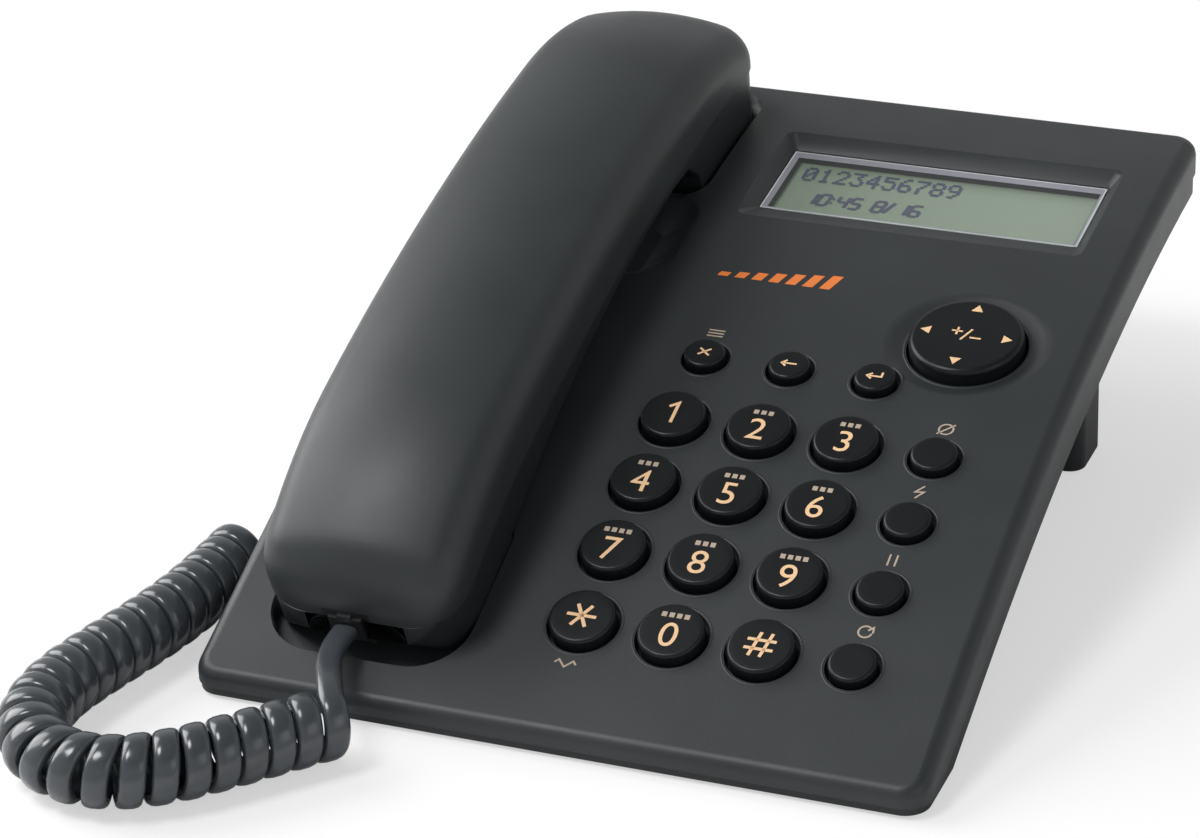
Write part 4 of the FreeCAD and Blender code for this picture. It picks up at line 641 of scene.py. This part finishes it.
def gripLine():
    # the hand's grip: one arc that leaves the ear end level and meets the mouth end
    start = topPoint(0, handset["back"] - lower["gripBack"][0], lower["gripBack"][1]).yz * 1000
    end = topPoint(0, handset["front"] + lower["gripFront"][0], lower["gripFront"][1]).yz * 1000
    chord = end - start
    slope = slopeAt(lower["gripAt"])
    heading = math.atan2(-math.sin(slope), -math.cos(slope))
    bend = math.atan2(chord.y, chord.x) - heading
    bend = (bend + math.pi) % (2 * math.pi) - math.pi
    radius = chord.length / 2 / math.sin(bend)
    points = []
    for i in range(lower["gripSteps"] + 1):
        angle = heading + 2 * bend * i / lower["gripSteps"]
        y = start.x + radius * (math.sin(angle) - math.sin(heading))
        z = start.y - radius * (math.cos(angle) - math.cos(heading))
        points.append(onSlope(y, z))
    return points


def underside():
    # the line from front to back, as (along, above); the ear's floor is flat, not arched
    front, rear = handset["front"], handset["back"]
    earFloor = []
    for distance in lower["earFloorAt"]:
        along = rear - distance
        rise = (along - lower["earMiddle"]) ** 2 / 2 / baseTop["radius"]
        earFloor.append((along, lower["earFloor"] + rise))
    return ([(front + distance, above) for distance, above in lower["mouth"]]
            + gripLine()[::-1]
            + [(rear - distance, above) for distance, above in lower["earWall"]]
            + earFloor
            + [(rear - distance, above) for distance, above in lower["rearEnd"]])


def heightOn(line, along):
    for (a, low), (b, high) in zip(line, line[1:]):
        if a <= along <= b:
            return low + (high - low) * (along - a) / (b - a)
    return line[-1][1]


def makeLowerShell():
    line = underside()
    first, last = handset["front"] + lower["inset"], handset["back"] - lower["inset"]
    places = {first + d: d for d in endDepths}
    places.update({last - d: d for d in endDepths})
    for along, _ in line:
        if first + endDepths[-1] < along < last - endDepths[-1]:
            places[along] = pastEnds
        for distance in (along - first, last - along):
            if 0 < distance < endDepths[-1]:
                places[along] = distance
    points = []
    for along in sorted(places):
        half = handset["half"] - lower["inset"] - quarter(handset["endRound"], places[along])
        top = partingHeight(along) - handset["seam"]
        low = min(heightOn(line, along), top - lower["least"])
        edge = min(lower["edge"], (top - low) * lower["edgeShare"])
        side = [(half, top)]
        for i in range(lower["edgeSteps"] + 1):
            angle = math.pi / 2 * i / lower["edgeSteps"]
            side.append((half - edge + edge * math.cos(angle), low + edge - edge * math.sin(angle)))
        section = [(-x, n) for x, n in side] + side[::-1]
        points += [topPoint(handset["across"] + x, along, n) for x, n in section]
    mesh = loft("handsetLowerShell", points, len(section))
    mesh.set_sharp_from_angle(angle=math.radians(lower["sharp"]))
    piece = makePiece("handsetLowerShell", mesh, "handset", shadedLowerPlastic)
    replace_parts(piece, "handset_lower_shell")


makeUpperShell()
makeLowerShell()
print("handset shells made")


# the curly cord: one flat lead, wound in curls between its two straight ends. "squareness" is
# the power that flattens its section; "exit" is where it leaves the base.

cord = {"width": 5.6, "thick": 3.2, "curlRadius": 6.25, "pitch": 6.0, "lift": 0.3,
        "turnSteps": 14, "ring": 14, "squareness": 0.72, "exit": (-65.0, -4.9, 23.7),
        "length": 1.11}
coilRoute = [(-42.2, -122.8), (-55.6, -137.6), (-66.8, -149.6), (-79.6, -156.4),
             (-93.4, -154.2), (-102.6, -143.6), (-104.4, -129.6), (-101.0, -114.6),
             (-96.2, -97.6), (-93.2, -80.0), (-92.6, -62.0)]
handsetEnd = [(-42.2, -122.8, 14.9), (-44.6, -118.0, 15.2), (-47.2, -112.8, 15.0),
              (-49.1, -107.6, 14.8), (-49.8, -102.8, 15.2), (-49.6, -98.1, 15.7)]
baseEnd = [(-88.0, -61.4, 2.3), (-82.1, -60.7, 2.3), (-75.2, -55.4, 3.4), (-73.2, -43.6, 7.6),
           (-73.6, -31.0, 13.2), (-75.6, -18.6, 18.6), (-76.2, -8.6, 22.2), (-71.0, -4.9, 23.7),
           (-65.0, -4.9, 23.7)]


def windCurls():
    # points of the wound part, from the handset's end to the base's, and the way it runs at each
    height = cord["curlRadius"] + cord["thick"] / 2 + cord["lift"]
    axis = linePoints([(x, y, height) for x, y in coilRoute])
    reach = [0.0]
    for before, after in zip(axis, axis[1:]):
        reach.append(reach[-1] + (after - before).length)
    turns = math.floor(reach[-1] / cord["pitch"]) + 0.5
    count = int(turns * cord["turnSteps"])
    # the line runs a little inside its control points, so they stand further out
    shrink = math.cos(math.pi / cord["turnSteps"])
    radius = cord["curlRadius"] / (0.5 + 0.5 * shrink)
    up = Vector((0, 0, 1))
    points, ways, at = [], [], 0
    for i in range(count + 1):
        distance = reach[-1] * i / count
        while at < len(axis) - 2 and reach[at + 1] < distance:
            at += 1
        share = (distance - reach[at]) / max(1e-9, reach[at + 1] - reach[at])
        centre = axis[at].lerp(axis[at + 1], share)
        ahead = (axis[min(at + 2, len(axis) - 1)] - axis[max(at - 1, 0)]).normalized()
        side = ahead.cross(up).normalized()
        angle = math.pi / 2 + 2 * math.pi * turns * i / count
        points.append(centre + (side * math.cos(angle) + up * math.sin(angle)) * radius)
        ways.append(ahead)
    return points, ways, turns


def flattened(value):
    return math.copysign(abs(value) ** cord["squareness"], value)


def makeCord():
    curls, ways, turns = windCurls()
    startTail = [Vector(p) for p in reversed(handsetEnd)]
    endTail = [Vector(p) for p in baseEnd]
    middle = linePoints([p / 1000 for p in startTail[:-1] + curls + endTail[1:]])
    # the lead's width lies along the coil on the curls, across on one tail and upright on the other
    guide = linePoints([Vector((1, 0, 0))] * (len(startTail) - 1) + [-ahead for ahead in ways]
                       + [Vector((0, 0, 1))] * (len(endTail) - 1))
    points = []
    for i, place in enumerate(middle):
        ahead = (middle[min(i + 1, len(middle) - 1)] - middle[max(i - 1, 0)]).normalized()
        across = guide[i] - ahead * guide[i].dot(ahead)
        across.normalize()
        over = ahead.cross(across)
        for j in range(cord["ring"]):
            angle = 2 * math.pi * j / cord["ring"]
            points.append(place + across * (flattened(math.cos(angle)) * cord["width"] / 2000)
                          + over * (flattened(math.sin(angle)) * cord["thick"] / 2000))
    length = sum((b - a).length for a, b in zip(middle, middle[1:]))
    print("cord: %.1f curls, %.0f mm" % (turns, length * 1000))
    piece = makePiece("handsetCord", loft("handsetCord", points, cord["ring"]), "root", cordJacket)
    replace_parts(piece, "curly_cord", "handset_cord_tail", "base_cord_tail")


makeCord()


# printing on the keys and the base: digits, plain signs and short dashes only. The ink's film
# is in metres.

printing = {"lift": 0.03, "film": 0.00002, "digit": 6.3, "digitDown": 1.25, "dashDown": -3.9,
            "one": ((-1.35, 1.75), (0.45, 3.1), (0.45, -3.15)), "oneStroke": 0.78,
            "star": 3.3, "starStroke": 0.8, "hashStroke": 0.75, "keyStroke": 0.5,
            "besideStroke": 0.42}
dash = {"wide": 1.15, "gap": 0.55, "high": 1.25}
lettersOn = {"1": 0, "2": 3, "3": 3, "4": 3, "5": 3, "6": 3, "7": 4, "8": 3, "9": 4, "0": 4}


def flatText(name, text, height):
    # one run of characters as a flat mesh, centred on the origin
    curve = bpy.data.curves.new(name, "FONT")
    curve.body = text
    mesh = finishedMesh(bpy.data.objects.new(name, curve))
    bpy.data.curves.remove(curve)
    xs = [v.co.x for v in mesh.vertices]
    ys = [v.co.y for v in mesh.vertices]
    scale = height / (max(ys) - min(ys)) / 1000
    middle = Vector(((max(xs) + min(xs)) / 2, (max(ys) + min(ys)) / 2, 0))
    mesh.transform(Matrix.Scale(scale, 4) @ Matrix.Translation(-middle))
    return mesh


mitre = {"least": 0.4, "closed": 1e-6}


def strokes(name, lines, width, filled=()):
    # printed lines of one width, mitred at their corners, and filled shapes
    points, faces = [], []
    for line in lines:
        line = [Vector((x, y, 0)) for x, y in line]
        closed = (line[0] - line[-1]).length < mitre["closed"]
        if closed:
            line = line[:-1]
        count, begin = len(line), len(points)
        for i, place in enumerate(line):
            before = line[i - 1] if i or closed else None
            after = line[(i + 1) % count] if i < count - 1 or closed else None
            ahead = Vector((0, 0, 0))
            if before is not None:
                ahead += (place - before).normalized()
            if after is not None:
                ahead += (after - place).normalized()
            ahead.normalize()
            side = Vector((-ahead.y, ahead.x, 0))
            step = (place - before).normalized() if before is not None else ahead
            reach = width / 2 / max(mitre["least"], abs(ahead.dot(step)))
            points += [(place + side * reach) / 1000, (place - side * reach) / 1000]
        for i in range(count if closed else count - 1):
            j = (i + 1) % count
            faces.append((begin + 2 * i + 1, begin + 2 * j + 1, begin + 2 * j, begin + 2 * i))
    for shape in filled:
        begin = len(points)
        points += [Vector((x, y, 0)) / 1000 for x, y in shape]
        faces.append(tuple(range(begin, begin + len(shape))))
    return meshFrom(name, points, faces, False)


def arcLine(radius, first, last, count=18):
    angles = [math.radians(first + (last - first) * i / count) for i in range(count + 1)]
    return [(radius * math.cos(angle), radius * math.sin(angle)) for angle in angles]


def block(x, y, wide, high):
    # a filled rectangle about its middle
    w, h = wide / 2, high / 2
    return [(x - w, y - h), (x + w, y - h), (x + w, y + h), (x - w, y + h)]


def printOn(name, mesh, place, body, material):
    mesh.transform(place)
    film = makePiece(name, mesh, body, material).modifiers.new("inkFilm", "SOLIDIFY")
    film.thickness = printing["film"]
    film.offset = 1


def onKey(node, down=0.0):
    across, along, kind = keyCaps[node]
    place = topFrame(across, along, keyKinds[kind][1] + printing["lift"])
    return place @ Matrix.Translation((0, -down / 1000, 0))


for text, letters in lettersOn.items():
    node, label = "key_" + text, "digit" + text
    if text == "1":
        mesh = strokes(label, [printing["one"]], printing["oneStroke"])
    else:
        mesh = flatText(label, text, printing["digit"])
    printOn(label, mesh, onKey(node, printing["digitDown"] if letters else 0.0), node, creamInk)
    if letters:
        # a row of small bars, where the real keys carry letters
        label += "Dashes"
        shapes = [block((i - (letters - 1) / 2) * (dash["wide"] + dash["gap"]), 0, dash["wide"],
                        dash["high"]) for i in range(letters)]
        place = onKey(node, printing["dashDown"])
        printOn(label, strokes(label, [], 1, shapes), place, node, tanInk)

# each sign as its lines, about its middle

signs = {
    "starSign": [[(-printing["star"] * math.cos(a), -printing["star"] * math.sin(a)),
                  (printing["star"] * math.cos(a), printing["star"] * math.sin(a))]
                 for a in (0.0, math.pi / 3, 2 * math.pi / 3)],
    "hashSign": [[(-1.75, -3.2), (-0.55, 3.2)], [(0.75, -3.2), (1.95, 3.2)],
                 [(-3.1, 1.15), (3.3, 1.15)], [(-3.3, -1.2), (3.1, -1.2)]],
    "crossSign": [[(-1.3, -1.1), (1.3, 1.1)], [(-1.3, 1.1), (1.3, -1.1)]],
    "backSign": [[(1.8, 0), (-1.6, 0)], [(-0.6, 1.0), (-1.7, 0), (-0.6, -1.0)]],
    "enterSign": [[(1.6, 1.2), (1.6, -0.3), (-1.5, -0.3)],
                  [(-0.6, 0.6), (-1.7, -0.3), (-0.6, -1.2)]],
    "ringSlashSign": [arcLine(1.6, 0, 360), [(-1.7, -1.7), (1.7, 1.7)]],
    "boltSign": [[(0.6, 1.9), (-1.0, -0.1), (0.9, 0.15), (-0.6, -1.9)]],
    "pauseSign": [[(-0.8, -1.6), (-0.8, 1.6)], [(0.8, -1.6), (0.8, 1.6)]],
    "againSign": [arcLine(1.5, 50, 350), [(0.5, 0.4), (1.5, 1.4), (1.7, -0.1)]],
    "menuSign": [[(-1.9, 1.0), (1.9, 1.0)], [(-1.9, 0), (1.9, 0)], [(-1.9, -1.0), (1.9, -1.0)]],
    "waveSign": [[(-2.4, 0), (-1.6, 0.9), (-0.8, 0), (0, -0.9), (0.8, 0), (1.6, 0.9), (2.4, 0)]],
    "plusMinusSign": [[(-3.6, 0.9), (-1.0, 0.9)], [(-2.3, -0.4), (-2.3, 2.2)],
                      [(1.0, -0.9), (3.6, -0.9)], [(-0.9, -2.0), (0.9, 2.0)]],
}
signedKeys = (("key_star", "starSign", "starStroke"), ("key_hash", "hashSign", "hashStroke"),
              ("exit_key", "crossSign", "keyStroke"), ("clear_key", "backSign", "keyStroke"),
              ("enter_key", "enterSign", "keyStroke"))
for node, sign, stroke in signedKeys:
    printOn(sign, strokes(sign, signs[sign], printing[stroke]), onKey(node), node, creamInk)

# signs beside the keys, as (sign, across, along)

besideKeys = (("ringSlashSign", 58.3, 98.6), ("boltSign", 58.3, 78.8), ("pauseSign", 58.3, 58.6),
              ("againSign", 58.3, 38.7), ("menuSign", -2.0, 119.2), ("waveSign", -1.8, 18.0))
for sign, across, along in besideKeys:
    mesh = strokes(sign, signs[sign], printing["besideStroke"])
    printOn(sign, mesh, topFrame(across, along, printing["lift"]), "root", tanInk)

# the navigator's four arrows and its middle sign

size, tail = navigator["arrow"], navigator["arrow"] * navigator["arrowTail"]
triangles = []
for i in range(4):
    swing = Matrix.Rotation(math.pi / 2 * i, 2)
    corners = [Vector((x + navigator["arrowOut"], y))
               for x, y in ((size, 0), (-tail, size), (-tail, -size))]
    triangles.append([tuple(swing @ corner) for corner in corners])
place = topFrame(navigator["across"], navigator["along"], navigator["rise"] + printing["lift"])
printOn("arrows", strokes("arrows", [], 1, triangles), place, "navigator_key", creamInk)
plusMinus = strokes("plusMinusSign", signs["plusMinusSign"], printing["keyStroke"])
printOn("plusMinusSign", plusMinus, place, "navigator_key", creamInk)

# a row of slanted bars that grow to the right, where the real one has coloured words

bars = {"count": 7, "pitch": 4.1, "left": -14.0, "low": -2.2, "wide": 2.5, "first": 1.6,
        "growth": 0.62, "slant": 0.35, "across": 5.0, "along": 142.0}
shapes = []
for i in range(bars["count"]):
    x, high = i * bars["pitch"] + bars["left"], bars["first"] + bars["growth"] * i
    lean, low, top = high * bars["slant"], bars["low"], high + bars["low"]
    shapes.append([(x, low), (x + bars["wide"], low), (x + bars["wide"] + lean, top),
                   (x + lean, top)])
place = topFrame(bars["across"], bars["along"], printing["lift"])
printOn("orangeBars", strokes("orangeBars", [], 1, shapes), place, "root", orangeInk)
print("printing done")


# what the display shows: plain digits in dots and in bars. A dot digit is seven rows of five
# bits, a bar digit the letters of its lit bars, and a bar its two ends as shares of the digit.

display = {"x": 28.4, "along": 186.0, "depth": 4.80, "dot": 0.84, "pitch": 0.62, "row": 0.88,
           "cell": 6.4, "dotsAt": (-34.0, 9.3), "barsAt": (-30.5, -6.4), "wide": 2.3,
           "high": 4.8, "slant": 0.10, "trim": 0.12, "gap": 1.0, "stroke": 0.86,
           "colon": (0.3, 0.7), "colonHalf": 0.25, "colonSlant": 0.4, "colonGap": 1.3,
           "slash": (-0.2, 1.5), "slashGap": 2.4}
dotDigits = {"0": (14, 17, 19, 21, 25, 17, 14), "1": (4, 12, 4, 4, 4, 4, 14),
             "2": (14, 17, 1, 2, 4, 8, 31), "3": (31, 2, 4, 2, 1, 17, 14),
             "4": (2, 6, 10, 18, 31, 2, 2), "5": (31, 16, 30, 1, 1, 17, 14),
             "6": (6, 8, 16, 30, 17, 17, 14), "7": (31, 1, 2, 4, 8, 8, 8),
             "8": (14, 17, 17, 14, 17, 17, 14), "9": (14, 17, 17, 15, 1, 2, 12)}
barDigits = {"0": "abcdef", "1": "bc", "2": "abged", "3": "abgcd", "4": "fgbc", "5": "afgcd",
             "6": "afgedc", "7": "abc", "8": "abcdefg", "9": "abcdfg"}
barEnds = {"a": ((0, 1), (1, 1)), "b": ((1, 1), (1, 0.5)), "c": ((1, 0.5), (1, 0)),
           "d": ((0, 0), (1, 0)), "e": ((0, 0.5), (0, 0)), "f": ((0, 1), (0, 0.5)),
           "g": ((0, 0.5), (1, 0.5))}


def dotRow(text):
    left, up = display["dotsAt"]
    shapes = []
    for k, char in enumerate(text):
        for line, bits in enumerate(dotDigits[char]):
            for place in range(5):
                if bits >> (4 - place) & 1:
                    x = left + (k * display["cell"] + place) * display["pitch"]
                    shapes.append(block(x, up - line * display["row"], display["dot"],
                                        display["row"]))
    return shapes


def barRow(text):
    # slanted seven-bar digits, with colons and a stroke between
    x, up = display["barsAt"]
    wide, high = display["wide"], display["high"]
    lines = []
    for char in text:
        if char == ":":
            for share in display["colon"]:
                middle = x + share * display["colonSlant"]
                lines.append([(middle - display["colonHalf"], up + share * high),
                              (middle + display["colonHalf"], up + share * high)])
            x += display["colonGap"]
        elif char == "/":
            lines.append([(x + display["slash"][0], up), (x + display["slash"][1], up + high)])
            x += display["slashGap"]
        elif char == " ":
            x += display["slashGap"]
        else:
            for bar in barDigits[char]:
                start, stop = (Vector((ax * wide + ay * high * display["slant"], ay * high))
                               for ax, ay in barEnds[bar])
                run = (stop - start).normalized() * display["trim"]
                lines.append([(x + start.x + run.x, up + start.y + run.y),
                              (x + stop.x - run.x, up + stop.y - run.y)])
            x += wide + display["gap"]
    return lines


# painted highlights on the display window: a pale band where its clear edge catches light, wider at
# the left and top, with a painted bright line around it

window = {"wide": 77.5, "high": 27.0, "inset": 0.15, "above": -3.1, "left": 1.7, "right": 0.9,
          "top": 2.6, "low": 0.9, "edge": 0.2, "edgeStroke": 0.4, "edgeLift": 0.00003}
ox, oy = window["wide"] / 2 - window["inset"], window["high"] / 2 - window["inset"]
x0, x1 = -ox + window["left"], ox - window["right"]
y0, y1 = -oy + window["low"], oy - window["top"]
rimHighlightQuads = [[(-ox, oy), (x0, y1), (x1, y1), (ox, oy)], [(-ox, -oy), (x0, y0), (x0, y1), (-ox, oy)],
            [(ox, -oy), (x1, y0), (x0, y0), (-ox, -oy)], [(ox, oy), (x1, y1), (x1, y0), (ox, -oy)]]
place = topFrame(display["x"], display["along"], window["above"] + printing["lift"])
printOn("windowRimHighlight", strokes("windowRimHighlight", [], 1, rimHighlightQuads), place, "root", paintedRimHighlight)
# the bright line is a painted highlight along the window's edge
ex, ey = ox - window["edge"], oy - window["edge"]
edgeHighlightLine = [(-ex, -ey), (ex, -ey), (ex, ey), (-ex, ey), (-ex, -ey)]
printOn("windowEdgeHighlight", strokes("windowEdgeHighlight", [edgeHighlightLine], window["edgeStroke"]),
        place @ Matrix.Translation((0, 0, window["edgeLift"])), "root", paintedEdgeHighlight)
place = topFrame(display["x"], display["along"], -display["depth"] + printing["lift"])
dots = strokes("displayDots", [], 1, dotRow("0123456789"))
printOn("displayDots", dots, place, "root", segmentInk)
segments = strokes("displayBars", barRow("10:45 8/16"), display["stroke"])
printOn("displayBars", segments, place, "root", segmentInk)
print("display drawn")


# stage and light, in metres and watts. The camera sees the floor partly as a white glow; the
# sky is given as (height, brightness), from straight below to straight above.

floorLook = {"half": 4, "below": 0.0002, "grey": 0.90, "rough": 0.8, "glow": 0.55}
sky = {"strength": 0.62,
       "steps": ((0.0, 1.0), (0.5, 1.0), (0.64, 0.72), (0.8, 0.26), (1.0, 0.34))}
softboxes = (("keyLight", (-1.4, 0.15, 0.85), (0, 0, 0.05), 1.2, 27),
             ("fillLight", (1.3, -0.6, 0.8), (0, 0, 0.03), 0.8, 1.5),
             ("topLight", (-0.50, -0.42, 1.25), (0, 0, 0.03), 0.45, 9.5))

h = floorLook["half"]
corners = [(-h, -h, 0), (h, -h, 0), (h, h, 0), (-h, h, 0)]
floorMesh = meshFrom("floor", corners, [(0, 1, 2, 3)], False)
floor = bpy.data.objects.new("floor", floorMesh)
bpy.context.scene.collection.objects.link(floor)
floor.location.z = -floorLook["below"]
floorPaint, tree, shader = startMaterial("floorPaint")
setInputs(shader, {"Base Color": (*[floorLook["grey"]] * 3, 1), "Roughness": floorLook["rough"]})
rays, share, glow, blend = (addNode(tree, kind)
                            for kind in ("LightPath", "Math", "Emission", "MixShader"))
glow.inputs["Strength"].default_value = 1.0
share.operation = "MULTIPLY"
share.inputs[1].default_value = floorLook["glow"]
tree.links.new(rays.outputs["Is Camera Ray"], share.inputs[0])
tree.links.new(share.outputs[0], blend.inputs["Fac"])
tree.links.new(shader.outputs[0], blend.inputs[1])
tree.links.new(glow.outputs[0], blend.inputs[2])
tree.links.new(blend.outputs[0], tree.nodes["Material Output"].inputs["Surface"])
floorMesh.materials.append(floorPaint)

world = bpy.data.worlds.new("world")
bpy.context.scene.world = world
world.use_nodes = True
tree = world.node_tree
heading, parts = addNode(tree, "TexCoord"), addNode(tree, "SeparateXYZ")
tree.links.new(heading.outputs["Generated"], parts.inputs[0])
greys = [(height, (level, level, level)) for height, level in sky["steps"]]
tree.links.new(tonesOver(tree, parts.outputs["Z"], greys), tree.nodes["Background"].inputs["Color"])
setInputs(tree.nodes["Background"], {"Strength": sky["strength"]})

for name, place, aim, width, power in softboxes:
    lamp = bpy.data.lights.new(name, "AREA")
    lamp.shape = "RECTANGLE"
    lamp.size, lamp.size_y, lamp.energy = width, width, power
    holder = bpy.data.objects.new(name, lamp)
    holder.location = place
    holder.rotation_euler = (Vector(aim) - Vector(place)).to_track_quat("-Z", "Y").to_euler()
    bpy.context.scene.collection.objects.link(holder)
bpy.context.scene.view_settings.view_transform = "Standard"
print("stage set")
